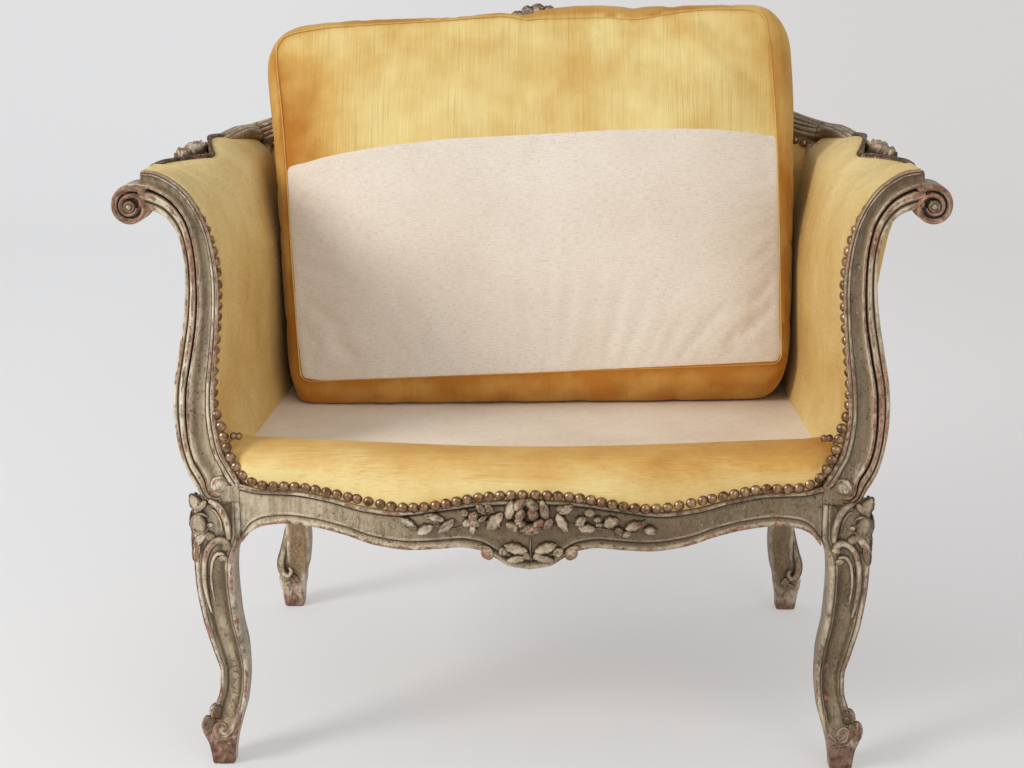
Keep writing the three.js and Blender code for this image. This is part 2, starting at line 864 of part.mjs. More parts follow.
// Where the inner face of an arm pad stands, by height, at the post and at the back
const armPadFront = [
  [railTop, frontFootX - armPadInset + 4],
  [railTop + 24, frontFootX - armPadInset + 16],
  [railTop + 74, frontFootX - armPadInset + 31],
  [railTop + 140, frontFootX - armPadInset + 30],
  [armTop - 131, frontFootX - 18],
  [armTop - 85, frontFootX - 14],
  [armTop - 51, frontFootX - 2],
  [armTop - 21, frontFootX + 18],
  [armTop - 3, frontFootX + 42],
];
const armPadRear = [
  [railTop, frontFootX - armPadInset],
  [railTop + 100, frontFootX - armPadInset + 8],
  [armTop - 155, frontFootX - armPadInset + 14],
  [armTop - 85, frontFootX - 12],
  [armTop - 29, frontFootX + 4],
  [armTop - 10, frontFootX + 20],
  [armTop - 3, frontFootX + 32],
];
const armPadEnd = rearPostY - 14;

function armPadInner(y, z) {
  const share = THREE.MathUtils.smoothstep(y, postFrontY, armPadEnd);
  const front = smoothValue(armPadFront, z);
  const rear = smoothValue(armPadRear, z);
  return front + (rear - front) * share;
}

function armPad() {
  const shares = [0, 0.064, 0.18, 0.33, 0.5, 0.68, 0.81, 0.91, 0.968, 1];
  const heights = shares.map((share) => padBottom + share * (armTop - 5.6 - padBottom));
  const rings = spread(postFrontY + 9, armPadEnd, 7).map((y) => {
    const inner = heights.map((z) => [armPadInner(y, z), z]);
    const outer = heights.slice(1, -1).reverse();
    const foot = armPadInner(y, padBottom);
    const back = outer.map((z) => [Math.max(armPadInner(y, z), foot) + armPadThick, z - 8]);
    const section = [...inner, ...back, [foot + armPadThick, padBottom]];
    return section.map(([x, z]) => new THREE.Vector3(x, y, z));
  });
  return loft(rings);
}

// Height of the crest's top and depth of its middle line, by distance from the middle
function crestTop(x) {
  const points = crestPoints.map(([across, , rise]) => [across, crestEndTop + rise * crestRise]);
  return smoothValue(points, Math.abs(x));
}

function crestY(x) {
  const points = crestPoints.map(([across, back]) => [across, crestEndY + back * crestBow]);
  return smoothValue(points, Math.abs(x));
}

// Front face of the back pad: upright line from the seat to the crest, fuller in the middle
function backPadFace(x, share) {
  const foot = rearPostY - 40;
  const top = crestY(x) - crestDepth / 2 - 14;
  const swell = (6 + backPadSwell * (1 - (x / rearFootX) ** 2)) * Math.sin(Math.PI * share);
  return foot + (top - foot) * share - swell;
}

function backPad() {
  const half = rearFootX + 6;
  const rings = spread(-half, half, 12).map((x) => {
    const top = crestTop(x) - mouldingHeight - 1;
    const face = [0, 0.12, 0.3, 0.5, 0.7, 0.86, 0.95].map((share) => [
      backPadFace(x, share),
      padBottom + (top - padBottom) * share,
    ]);
    const rim = crestY(x) - crestDepth / 2 + 5;
    const section = [
      ...face,
      [rim - 8, top],
      [rim, top],
      [rim, top - tackingHeight],
      [rearPostY + 18, armTop - 157],
      [rearPostY - 8 - fitGap, railTop + 78],
      [rearPostY - 8 - fitGap, padBottom],
    ];
    return section.map(([y, z]) => new THREE.Vector3(x, y, z));
  });
  return loft(rings);
}

// Velvet roll along the front edge of the seat, lapped down over the rail's tacking band
function frontRoll() {
  const half = legInnerX + 22;
  const rings = [-half, ...frontStations, half].map((x) => {
    const share = Math.min(Math.abs(x) / frontRailHalf, 1);
    const faceY = frontRailFaceY(share * frontRailHalf);
    const lap = railTop - smoothValue(frontRailUpper, share) + fitGap;
    const crown = rollTop - 5 * share * share;
    const section = [
      [faceY + tackingStep - 0.3, lap],
      [faceY + 1, lap],
      [faceY - 2, lap + 8],
      [faceY - 3, railTop + 6],
      [faceY + 3, crown - 12],
      [faceY + 18, crown - 3],
      [faceY + 42, crown],
      [faceY + 74, crown - 7],
      [faceY + 100, deckTop - 5],
      [faceY + 100, padBottom],
      [faceY + tackingStep - 0.3, padBottom],
    ];
    return section.map(([y, z]) => new THREE.Vector3(x, y, z));
  });
  return loft(rings);
}

function seatDeck() {
  const half = sideRailInnerX + 12;
  const low = [-half, -10, padBottom];
  const high = [half, rearPostY - 10, deckTop];
  return boxBetween(low, high);
}

// Webbing woven over and under, tacked on top of the rails; the first strip of each way goes over
const webLevel = railTop + fitGap + 1.5 * webThick;
const webRise = webThick / 2 + fitGap / 2 + 0.05;
const longWebX = [-2, -1, 0, 1, 2].map((place) => place * longWebPitch);
const crossWebY = [1, 2, 3, 4].map((place) => 4 + place * crossWebPitch);

function webStrip(start, end, crossings, over, place) {
  const reach = webWidth / 2 + 2;
  const bends = crossings.flatMap((at, i) => {
    const side = (i + over) % 2 ? -webRise : webRise;
    return [
      [at - reach, side],
      [at + reach, side],
    ];
  });
  const rings = [[start, 0], ...bends, [end, 0]].map(([at, rise]) => {
    const section = [
      [-webWidth / 2, -webThick / 2],
      [webWidth / 2, -webThick / 2],
      [webWidth / 2, webThick / 2],
      [-webWidth / 2, webThick / 2],
    ];
    return section.map(([aside, up]) => place(at, aside, webLevel + rise + up));
  });
  return loft(rings);
}

function longWeb(index) {
  const x = longWebX[index];
  const place = (at, aside, z) => new THREE.Vector3(x + aside, at, z);
  return webStrip(railBackY - 20, rearPostY + 8, crossWebY, index % 2, place);
}

function crossWeb(index) {
  const y = crossWebY[index];
  const half = sideRailInnerX + 16;
  const place = (at, aside, z) => new THREE.Vector3(at, y + aside, z);
  return webStrip(-half, half, longWebX, (index + 1) % 2, place);
}

function hessian(posts) {
  const half = sideRailInnerX + 6;
  const level = webLevel + webRise + webThick / 2 + fitGap;
  const sheet = boxBetween([-half, railBackY - 14, level], [half, rearPostY - 8, level + hessianThick]);
  return yielding(sheet, ...posts);
}

// Block glued in a corner of the seat frame
function cornerBlock(x, y, towards) {
  const shape = new THREE.Shape();
  shape.moveTo(0, 0);
  shape.lineTo(-cornerBlockReach, 0);
  shape.lineTo(-cornerBlockReach, 10);
  shape.lineTo(-10, cornerBlockReach);
  shape.lineTo(0, cornerBlockReach);
  shape.closePath();
  const block = new THREE.ExtrudeGeometry(shape, { depth: cornerBlockHeight, bevelEnabled: false });
  block.deleteAttribute('normal').deleteAttribute('uv');
  const body = mergeVertices(block);
  if (towards < 0) {
    body.scale(1, -1, 1);
    body.setIndex(Array.from(body.getIndex().array).reverse());
  }
  return body.translate(x, y, railTop - 52);
}

// Rail that the inside arm cover is tacked to, between arm post and back post
function armTackRail() {
  const x = frontFootX + 2;
  return boxBetween([x - 8, postBackY - 4, tackRailLow], [x + 12, rearPostY - 4, tackRailHigh]);
}

// Outside arm panel from the side rail to the arm rail, bowed out behind the post
function outerPanelX(y, share) {
  const atPost = frontFootX + smoothValue(postOuter.map(([out, up]) => [up, out]), 0.04 + 0.85 * share) - 3;
  const foot = sideRailOuter(y) - tackingStep + outerPanelThick + 0.5;
  const railX = smoothValue(armRailPoints.map(([x, depth]) => [-depth, x]), -y);
  const top = railX + armRailWidth / 2 - 6 + outerPanelThick + 0.5;
  const bulge = 14 * Math.sin(Math.PI * share);
  const away = THREE.MathUtils.smoothstep(y, postBackY, postBackY + 110);
  return atPost * (1 - away) + (foot + (top - foot) * share ** 2.5 + bulge) * away;
}

function armOuterPanel() {
  const rings = spread(postBackY + fitGap, rearPostY + 6, 7).map((y) => {
    const bottom = railTop - 11.5;
    const top = smoothValue(armRailPoints.map(([, depth, z]) => [-depth, z]), -y) - 24;
    const shares = [0, 0.15, 0.3, 0.45, 0.6, 0.75, 0.9, 1];
    const face = shares.map((share) => [outerPanelX(y, share), bottom + (top - bottom) * share]);
    const inside = face.map(([x, z]) => [x - outerPanelThick, z]).reverse();
    return [...face, ...inside].map(([x, z]) => new THREE.Vector3(x, y, z));
  });
  return loft(rings);
}

function backOuterPanel() {
  const half = rearFootX + 4;
  const rings = spread(-half, half, 14).map((x) => {
    const top = crestTop(x) - mouldingHeight - 2;
    const foot = rearPostY + rearRailThick / 2 + fitGap;
    const shares = [0, 0.2, 0.45, 0.7, 0.92, 1];
    const rim = crestY(x) + crestDepth / 2 - 5;
    const inside = shares.map((share) => [
      foot + (rim - foot) * share + 5 * Math.sin(Math.PI * share),
      railTop - 30 + (top - railTop + 30) * share,
    ]);
    const outside = inside.map(([y, z]) => [y + outerPanelThick, z]).reverse();
    return [...inside, ...outside].map(([y, z]) => new THREE.Vector3(x, y, z));
  });
  return loft(rings);
}

// Plan of the loose cushion: rounded corners, wider at its front edge, sides pulled in between them
function cushionPlan() {
  const corner = 42;
  const rear = frontFootX - armPadInset - cushionSideGap;
  const front = rear + cushionFlare / 2;
  const middle = (rear + front) / 2 - 2 * cushionDrawIn;
  const plan = new THREE.Shape();
  plan.moveTo(0, 0);
  plan.lineTo(rear - corner, 0);
  plan.quadraticCurveTo(rear, 0, rear, corner);
  plan.quadraticCurveTo(middle, cushionLength / 2, front, cushionLength - corner);
  plan.quadraticCurveTo(front, cushionLength, front - corner, cushionLength);
  plan.lineTo(-front + corner, cushionLength);
  plan.quadraticCurveTo(-front, cushionLength, -front, cushionLength - corner);
  plan.quadraticCurveTo(-middle, cushionLength / 2, -rear, corner);
  plan.quadraticCurveTo(-rear, 0, -rear + corner, 0);
  return plan.getPoints(5).slice(0, -1);
}

// Cushion with crowned faces and swelled edges, stood on its rear edge and settled on the platform
function cushion() {
  const middle = new THREE.Vector2(0, cushionLength / 2);
  const half = cushionThick / 2;
  const upper = [
    [0.2, half + cushionCrown, 0],
    [0.55, half + 0.82 * cushionCrown, 0],
    [0.85, half + 0.35 * cushionCrown, 0],
    [0.97, half, 0],
    [1, half - 5, 0],
    [1, half * 0.4, 1],
  ];
  const lower = upper.map(([share, height, swell]) => [share, -height, swell]).reverse();
  const plan = cushionPlan();
  const rings = [...upper, ...lower].map(([share, height, swell]) =>
    plan.map((p) => {
      const at = p.clone().sub(middle).multiplyScalar(share).add(middle);
      const end = (p.y - middle.y) / middle.y;
      const edge = swell * end ** 6 * (end > 0 ? cushionBulge : -cushionFootRise);
      return new THREE.Vector3(at.x, at.y + edge, height - half);
    }),
  );
  const body = loft(rings).rotateZ(rad(cushionTilt)).rotateX(rad(90 - cushionLean));
  body.translate(cushionFootX, cushionFootY, deckTop + cushionFootRise);
  const corners = body.getAttribute('position');
  for (let k = 0; k < corners.count; k += 1) {
    corners.setZ(k, Math.max(corners.getZ(k), deckTop + fitGap));
  }
  return body;
}

// Assembly
const paint = { color: 0xa59c80, roughness: 0.62, metalness: 0 };
const rawWood = { color: 0xa98258, roughness: 0.75, metalness: 0 };
const velvet = { color: 0xd6ac52, roughness: 0.85, metalness: 0 };
const armVelvet = { color: 0xc2a05a, roughness: 0.85, metalness: 0 };
const linen = { color: 0xd3c6b0, roughness: 0.95, metalness: 0 };
const jute = { color: 0x9c8058, roughness: 0.95, metalness: 0 };

const chair = new THREE.Group();

function place(name, geometry, look) {
  geometry.computeVertexNormals();
  const mesh = new THREE.Mesh(geometry, new THREE.MeshStandardMaterial(look));
  mesh.name = name;
  chair.add(mesh);
  return mesh;
}

// A right-hand piece and its mirror image
function placePair(name, geometry, look) {
  place(`right_${name}`, geometry, look);
  place(`left_${name}`, mirrored(geometry), look);
  return [geometry, mirrored(geometry)];
}

const frontRailPiece = frontRail();
const rearRailPiece = rearRail();
const backRailPiece = backRail();
const crestPiece = crestRail();
place('front_seat_rail', frontRailPiece, paint);
place('rear_seat_rail', rearRailPiece, rawWood);
place('back_lower_rail', backRailPiece, rawWood);
place('crest_rail', crestPiece, paint);
const frontLegs = placePair('front_leg', frontLeg(), paint);
const sideRails = placePair('side_seat_rail', sideRail(), paint);
const armPosts = placePair('arm_post', armPost(), paint);
const armRails = placePair('arm_rail', armRail(), paint);
const rearLegForms = [rearLegPost(), mirrored(rearLegPost())];
const rearLegs = rearLegForms.map((leg, i) => yielding(leg, crestPiece, armRails[i]));
place('right_rear_leg_post', rearLegs[0], paint);
place('left_rear_leg_post', rearLegs[1], paint);

const rearBlock = cornerBlock(sideRailInnerX - 6, rearPostY - rearRailThick / 2, -1);
const frontBlock = cornerBlock(sideRailInnerX, railBackY, 1);
const rearSeat = [rearLegs[0], rearRailPiece, sideRails[0]];
placePair('rear_corner_block', yielding(rearBlock, ...rearSeat), rawWood);
placePair('front_corner_block', yielding(frontBlock, frontLegs[0], frontRailPiece, sideRails[0]), rawWood);
const tackRails = placePair('arm_tacking_rail', yielding(armTackRail(), armPosts[0], rearLegs[0]), rawWood);
longWebX.forEach((_, i) => place(`webbing_long_${i + 1}`, longWeb(i), jute));
crossWebY.forEach((_, i) => place(`webbing_cross_${i + 1}`, crossWeb(i), jute));
place('seat_hessian', hessian([...armPosts, ...rearLegs]), jute);

const rightSide = [armPosts[0], armRails[0], rearLegs[0], tackRails[0]];
const armPadForms = [armPad(), mirrored(armPad())];
const rollForm = frontRoll();
const backPadForm = backPad();
const cushionForm = cushion();
placePair('arm_pad', yielding(armPadForms[0], ...rightSide), armVelvet);
placePair('arm_outer_panel', yielding(armOuterPanel(), ...rightSide, armPadForms[0]), armVelvet);
const backNeighbours = [crestPiece, ...armRails, ...rearLegs, ...tackRails, backRailPiece];
place('back_pad', yielding(backPadForm, ...backNeighbours, ...armPadForms, cushionForm), armVelvet);
place('back_outer_panel', yielding(backOuterPanel(), crestPiece, ...rearLegs), armVelvet);
place('front_edge_roll', yielding(rollForm, ...armPosts, ...armPadForms), velvet);
const deckNeighbours = [...rearLegs, ...armPosts, ...armPadForms, rollForm, backPadForm];
place('seat_deck', yielding(seatDeck(), ...deckNeighbours), linen);

place('seat_cushion', cushionForm, velvet);

// The origin is the middle of the footprint on the floor
const extent = new THREE.Box3().setFromObject(chair, true);
chair.position.y = -(extent.min.y + extent.max.y) / 2;

export default chair;
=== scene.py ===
# Wide bergere chair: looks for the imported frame. Carved and painted wood, gold velvet, linen,
# bronze nails, and one loose cushion that stands on its rear edge with its underside to the viewer.

import json
import math

import bmesh
import bpy
from mathutils import Matrix, Vector, bvhtree, kdtree, noise


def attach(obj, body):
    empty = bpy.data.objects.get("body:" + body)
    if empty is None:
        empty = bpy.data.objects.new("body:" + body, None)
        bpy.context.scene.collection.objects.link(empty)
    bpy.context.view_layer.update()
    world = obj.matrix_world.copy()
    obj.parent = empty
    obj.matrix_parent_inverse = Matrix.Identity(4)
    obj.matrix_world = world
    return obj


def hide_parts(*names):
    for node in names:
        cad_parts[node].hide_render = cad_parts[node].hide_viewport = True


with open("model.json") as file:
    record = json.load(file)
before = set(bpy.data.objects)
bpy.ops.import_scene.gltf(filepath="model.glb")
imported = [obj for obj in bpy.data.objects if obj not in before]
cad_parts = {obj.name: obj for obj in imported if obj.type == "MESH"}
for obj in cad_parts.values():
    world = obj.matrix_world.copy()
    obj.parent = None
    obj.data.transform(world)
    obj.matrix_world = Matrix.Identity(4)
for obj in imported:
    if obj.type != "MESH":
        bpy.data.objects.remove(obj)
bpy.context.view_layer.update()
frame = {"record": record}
front_feet_y = frame["record"]["mounts"][0]["pos_m"][1]

# Levels and places of the frame, in millimetres from the middle, the front feet and the floor
JOINT_GAP = 0.3
FOOT_X = 370
REAR_FOOT_X = 365
REAR_FOOT_Y = 531
REAR_POST_Y = 478
LEG_TOP = 331
RAIL_TOP = 362
POST_HEIGHT = 386
ARM_TOP = LEG_TOP + POST_HEIGHT
CREST_END = ARM_TOP + 2
CREST_RISE = 143
CREST_BOW = 56
CREST_END_Y = REAR_POST_Y + 26
CREST_DEPTH = 29
BLOCK_INNER = 33
BLOCK_OUTER = 22
RAIL_SET = 7
RAIL_BACK_Y = 30
RAIL_BOW = 28
RAIL_FACE_Y = RAIL_SET - BLOCK_OUTER
RAIL_HALF = FOOT_X - BLOCK_INNER - JOINT_GAP
SIDE_RAIL_INNER = 343
POST_FRONT_Y = -16
POST_BACK_Y = 29
DECK_TOP = 379
DECK_FOOT = 371
ROLL_TOP = 394
PAD_FOOT = 370
PANEL_FOOT = 350.5
ARM_PAD_END = REAR_POST_Y - 14
VELVET_DROP = 29  # from the crest's top line to where the velvets of the back end


def at(x, y, z):
    """Point in metres from millimetres right of the middle, behind the front feet and above the floor."""
    return Vector((x * 0.001, y * 0.001 + front_feet_y, z * 0.001))


def mix(a, b, share):
    return a + (b - a) * share


def ease(x, low, high):
    t = min(max((x - low) / (high - low), 0.0), 1.0)
    return t * t * (3 - 2 * t)


def read_table(table, x):
    """Value at x of a smooth line through (x, value) pairs that never overshoots them."""
    if x <= table[0][0]:
        return table[0][1]
    if x >= table[-1][0]:
        return table[-1][1]
    i = 0
    while x > table[i + 1][0]:
        i += 1

    def secant(k):
        return (table[k + 1][1] - table[k][1]) / (table[k + 1][0] - table[k][0])

    def slope(k):
        if k == 0:
            return secant(0)
        if k == len(table) - 1:
            return secant(k - 1)
        before, after = secant(k - 1), secant(k)
        return 2 * before * after / (before + after) if before * after > 0 else 0

    (x0, v0), (x1, v1) = table[i], table[i + 1]
    span = x1 - x0
    t = (x - x0) / span
    s = 1 - t
    ends = v0 * (1 + 2 * t) * s * s + v1 * (3 - 2 * t) * t * t
    return ends + span * t * s * (slope(i) * s - slope(i + 1) * t)


def smooth_line(points):
    """Curve through points of any dimension, read at 0 to 1."""
    points = [Vector(p) for p in points]
    spans = len(points) - 1

    def pick(k):
        if k < 0:
            return points[0] * 2 - points[1]
        if k > spans:
            return points[-1] * 2 - points[-2]
        return points[k]

    def read(t):
        place = min(max(t, 0.0), 1.0) * spans
        i = min(int(place), spans - 1)
        w = place - i
        p0, p1, p2, p3 = (pick(i + k) for k in (-1, 0, 1, 2))
        d0, d1, d2 = (max((b - a).length, 1e-5) ** 0.5 for a, b in ((p0, p1), (p1, p2), (p2, p3)))
        m1 = ((p1 - p0) / d0 - (p2 - p0) / (d0 + d1) + (p2 - p1) / d1) * d1
        m2 = ((p2 - p1) / d1 - (p3 - p1) / (d1 + d2) + (p3 - p2) / d2) * d1
        a, b = w * w * w, w * w
        return p1 * (2 * a - 3 * b + 1) + m1 * (a - 2 * b + w) + p2 * (3 * b - 2 * a) + m2 * (a - b)

    return read


def even_walk(points, count):
    """The same line with a given number of points, spread by length."""
    lengths = [0.0]
    for a, b in zip(points, points[1:]):
        lengths.append(lengths[-1] + (b.xy - a.xy).length + 1e-6)
    out = []
    k = 0
    for j in range(count):
        goal = lengths[-1] * j / (count - 1)
        while k < len(points) - 2 and lengths[k + 1] < goal:
            k += 1
        share = (goal - lengths[k]) / (lengths[k + 1] - lengths[k])
        out.append(points[k].lerp(points[k + 1], min(share, 1)))
    return out


# Meshes
def skin(along, row, closed=True, size=(1.0, 1.0)):
    """Grid bent over rings: row(u) gives the ring at u, from 0 to 1, as (point, wear) pairs."""
    rings = [row(k / along) for k in range(along + 1)]
    around = len(rings[0]) if closed else len(rings[0]) - 1
    bm = bmesh.new()
    bmesh.ops.create_grid(bm, x_segments=along, y_segments=around, size=1)
    wear = bm.verts.layers.float.new("wear")
    cloth = bm.loops.layers.uv.new("cloth")
    for vert in bm.verts:
        u, v = (vert.co.x + 1) / 2, (vert.co.y + 1) / 2
        for loop in vert.link_loops:
            loop[cloth].uv = (u * size[0], v * size[1])
        ring = rings[round(u * along)]
        vert.co, vert[wear] = ring[round(v * around) % len(ring)]
    if closed:
        bmesh.ops.remove_doubles(bm, verts=bm.verts, dist=1e-6)
        bmesh.ops.holes_fill(bm, edges=bm.edges, sides=0)
    return bm


def finish_piece(name, bm, look, replaces=(), body="chair", levels=0):
    """Mesh object with outward faces and smooth shading, riding on its body."""
    bmesh.ops.recalc_face_normals(bm, faces=bm.faces)
    for face in bm.faces:
        face.smooth = len(face.verts) < 5
        if not face.smooth:
            for edge in face.edges:
                edge.smooth = False
    mesh = bpy.data.meshes.new(name)
    bm.to_mesh(mesh)
    bm.free()
    obj = bpy.data.objects.new(name, mesh)
    bpy.context.scene.collection.objects.link(obj)
    for finish in look if isinstance(look, list) else [look]:
        mesh.materials.append(finish)
    if levels:
        soften = obj.modifiers.new("soften", "SUBSURF")
        soften.levels = soften.render_levels = levels
    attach(obj, body)
    if replaces:
        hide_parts(*replaces)
    return obj


def both_sides(name, bm, look, node):
    """The right-hand piece and its mirror image, in a list."""
    left = bm.copy()
    bmesh.ops.scale(left, vec=(-1, 1, 1), verts=left.verts)
    return [finish_piece(f"{side}_{name}", mesh, look, [f"{side}_{node}"])
            for mesh, side in ((bm, "right"), (left, "left"))]


def empty_mesh():
    """Mesh without faces yet, with the layer that holds its wear."""
    bm = bmesh.new()
    bm.verts.layers.float.new("wear")
    return bm


def add_mesh(bm, other, layer=0):
    """Adds one mesh to another, in the given one of its finishes, and empties the second."""
    for face in other.faces:
        face.material_index = layer
    keep = bpy.data.meshes.new("part")
    other.to_mesh(keep)
    other.free()
    bm.from_mesh(keep)
    bpy.data.meshes.remove(keep)


# Materials
def colour(red, green, blue):
    """Linear colour from display values of 0 to 255."""
    parts = [c / 255 for c in (red, green, blue)]
    return tuple(c / 12.92 if c <= 0.04045 else ((c + 0.055) / 1.055) ** 2.4 for c in parts) + (1.0,)


class Finish:
    """A material under construction: short calls for the nodes that the finishes share."""

    def __init__(self, name, roughness):
        self.material = bpy.data.materials.new(name)
        self.material.use_nodes = True
        self.tree = self.material.node_tree
        self.shader = self.tree.nodes["Principled BSDF"]
        self.shader.inputs["Roughness"].default_value = roughness
        self.place = self.tree.nodes.new("ShaderNodeTexCoord").outputs["Object"]

    def link(self, value, socket):
        if isinstance(value, bpy.types.NodeSocket):
            self.tree.links.new(value, socket)
        else:
            socket.default_value = value

    def add(self, kind, outlet=0, settings=None, **inlets):
        node = self.tree.nodes.new(kind)
        for key, value in (settings or {}).items():
            setattr(node, key, value)
        for key, value in inlets.items():
            self.link(value, node.inputs[key.replace("_", " ")])
        return node.outputs[outlet]

    def stretched(self, scale, source=None):
        return self.add("ShaderNodeMapping", Vector=source or self.place, Scale=scale)

    def noise(self, scale, detail=3.0, source=None, rough=0.55):
        return self.add("ShaderNodeTexNoise", Vector=source or self.place, Scale=scale, Detail=detail,
                        Roughness=rough)

    def ramp(self, factor, *stops):
        """Colour or grey by factor, from (place, colour) stops."""
        node = self.tree.nodes.new("ShaderNodeValToRGB")
        self.link(factor, node.inputs["Fac"])
        marks = node.color_ramp.elements
        while len(marks) < len(stops):
            marks.new(0.5)
        for mark, (place, shade) in zip(marks, stops):
            mark.position = place
            mark.color = shade if isinstance(shade, tuple) else (shade, shade, shade, 1)
        return node.outputs["Color"]

    def blend(self, factor, first, second, how="MIX"):
        node = self.tree.nodes.new("ShaderNodeMix")
        node.data_type = "RGBA"
        node.blend_type = how
        self.link(factor, node.inputs["Factor"])
        self.link(first, node.inputs[6])
        self.link(second, node.inputs[7])
        return node.outputs[2]

    def maths(self, how, *values):
        node = self.tree.nodes.new("ShaderNodeMath")
        node.operation = how
        for socket, value in zip(node.inputs, values):
            self.link(value, socket)
        return node.outputs[0]

    def times(self, first, second):
        return self.maths("MULTIPLY", first, second)

    def patches(self, scale, detail, *stops, rough=0.55):
        """Ramp over plain noise."""
        return self.ramp(self.noise(scale, detail, rough=rough), *stops)

    def raise_surface(self, height, depth, strength=1.0):
        bump = self.tree.nodes.new("ShaderNodeBump")
        bump.inputs["Strength"].default_value = strength
        bump.inputs["Distance"].default_value = depth
        self.link(height, bump.inputs["Height"])
        self.tree.links.new(bump.outputs["Normal"], self.shader.inputs["Normal"])

    def finish(self, base, roughness=None):
        self.link(base, self.shader.inputs["Base Color"])
        if roughness is not None:
            self.link(roughness, self.shader.inputs["Roughness"])
        return self.material


def old_paint(name, light, middle, stain, rub):
    """Old waxed paint: brushed, crackled, brown in its hollows, chalky on its ridges and rubbed there to the wood, with
    painted shade on its right side, on its high parts and in its creases.
    """
    f = Finish(name, 0.45)
    f.shader.inputs["Specular IOR Level"].default_value = 0.45
    tone = f.patches(11, 6, (0.36, middle), (0.6, light), rough=0.65)
    brushed = f.noise(1.0, 3, f.stretched((190, 190, 26)))
    tone = f.blend(f.ramp(brushed, (0.44, 0.0), (0.64, 0.5)), tone, stain)
    tone = f.blend(f.patches(34, 7, (0.48, 0.0), (0.64, 0.55), rough=0.75), tone, stain)

    # Browner over the middle as patina. Darker on the right than on the left, and darker high up, most on the right, as
    # painted shade.
    from_left = f.maths("ADD", f.add("ShaderNodeSeparateXYZ", Vector=f.place), 0.5)
    up = f.add("ShaderNodeSeparateXYZ", outlet=2, Vector=f.place)
    side = f.ramp(from_left, (0.1, 0.0), (0.4, 0.6), (0.62, 0.9), (0.8, 0.85), (0.92, 0.5))
    high = f.times(f.ramp(up, (0.56, 0.0), (0.72, 0.8)), f.ramp(from_left, (0.15, 0.45), (0.6, 1.0)))
    side = f.maths("MAXIMUM", side, high)
    tone = f.blend(f.times(side, 0.95), tone, colour(98, 78, 49))

    cells = f.add("ShaderNodeTexVoronoi", outlet="Distance", settings={"feature": "DISTANCE_TO_EDGE"},
                  Vector=f.blend(0.03, f.stretched((1.7, 1.0, 0.9)), f.noise(30, 2), "ADD"), Scale=120.0)
    cracked = f.times(f.ramp(cells, (0.0, 1.0), (0.04, 0.0)), f.patches(7, 3, (0.47, 0.0), (0.62, 0.5)))
    tone = f.blend(cracked, tone, colour(62, 48, 32))

    worn = f.add("ShaderNodeAttribute", outlet="Fac", settings={"attribute_name": "wear"})
    sunk = f.times(worn, -1.0)
    sharp = f.add("ShaderNodeNewGeometry", outlet="Pointiness")
    tone = f.blend(f.ramp(sunk, (0.0, 0.0), (0.5, 0.75)), tone, stain)
    # Dirt, and painted shade in the creases: near-black where the surface is concave or deeply sunk.
    grime_and_crease_shade = f.maths("MAXIMUM", f.ramp(sharp, (0.42, 1.0), (0.495, 0.0)), f.ramp(sunk, (0.3, 0.0), (0.9, 1.0)))
    grime_and_crease_shade = f.times(grime_and_crease_shade, f.patches(35, 3, (0.2, 0.8), (0.6, 1.0)))
    tone = f.blend(grime_and_crease_shade, tone, colour(42, 32, 22))
    specks = f.times(f.patches(330, 3, (0.58, 0.0), (0.66, 0.9)), f.patches(26, 3, (0.4, 0.2), (0.6, 1.0)))
    tone = f.blend(specks, tone, colour(66, 48, 32))
    chalky = f.times(f.ramp(worn, (0.05, 0.0), (0.7, 0.95)), f.patches(46, 6, (0.38, 0.0), (0.54, 1.0), rough=0.72))
    # Chalk is pale on the left and duller on the right as painted shade.
    tone = f.blend(chalky, tone, f.blend(side, colour(226, 212, 188), colour(176, 156, 126)))
    flecks = f.times(f.patches(260, 3, (0.6, 0.0), (0.67, 0.9)), f.patches(19, 3, (0.5, 0.0), (0.66, 0.45)))
    tone = f.blend(flecks, tone, colour(214, 202, 180))

    worn_half = f.times(worn, 0.5)
    rubbed = f.ramp(worn_half, (0.1, 0.0), (0.5, 0.62), (0.7, 1.0))
    rubbed = f.maths("ADD", rubbed, f.ramp(sharp, (0.515, 0.0), (0.58, 0.45)))
    scuffs = f.noise(52, 6, f.stretched((1, 1, 0.4)), 0.72)
    rubbed = f.maths("ADD", rubbed, f.ramp(scuffs, (0.38, 0.0), (0.64, 1.0)))
    rubbed = f.ramp(f.maths("SUBTRACT", rubbed, rub), (0.42, 0.0), (0.56, 0.88))
    wood = f.patches(170, 4, (0.34, colour(80, 49, 36)), (0.52, colour(150, 97, 73)), (0.7, colour(202, 154, 129)))
    tone = f.blend(rubbed, tone, wood)
    bare = f.maths("MULTIPLY_ADD", f.noise(40, 4), 0.5, f.maths("SUBTRACT", worn_half, 0.25))
    wood = f.patches(90, 6, (0.36, colour(70, 46, 34)), (0.52, colour(126, 92, 72)), (0.66, colour(176, 140, 114)),
                     rough=0.7)
    tone = f.blend(f.ramp(bare, (0.55, 0.0), (0.8, 1.0)), tone, wood)

    height = f.maths("ADD", f.noise(90, 5), f.times(brushed, 0.6))
    for lowered, depth in ((cracked, 0.8), (rubbed, 0.4), (specks, 0.4)):
        height = f.maths("SUBTRACT", height, f.times(lowered, depth))
    f.raise_surface(height, 0.0014, 0.9)
    return f.finish(tone, f.patches(60, 4, (0.3, 0.34), (0.7, 0.56)))


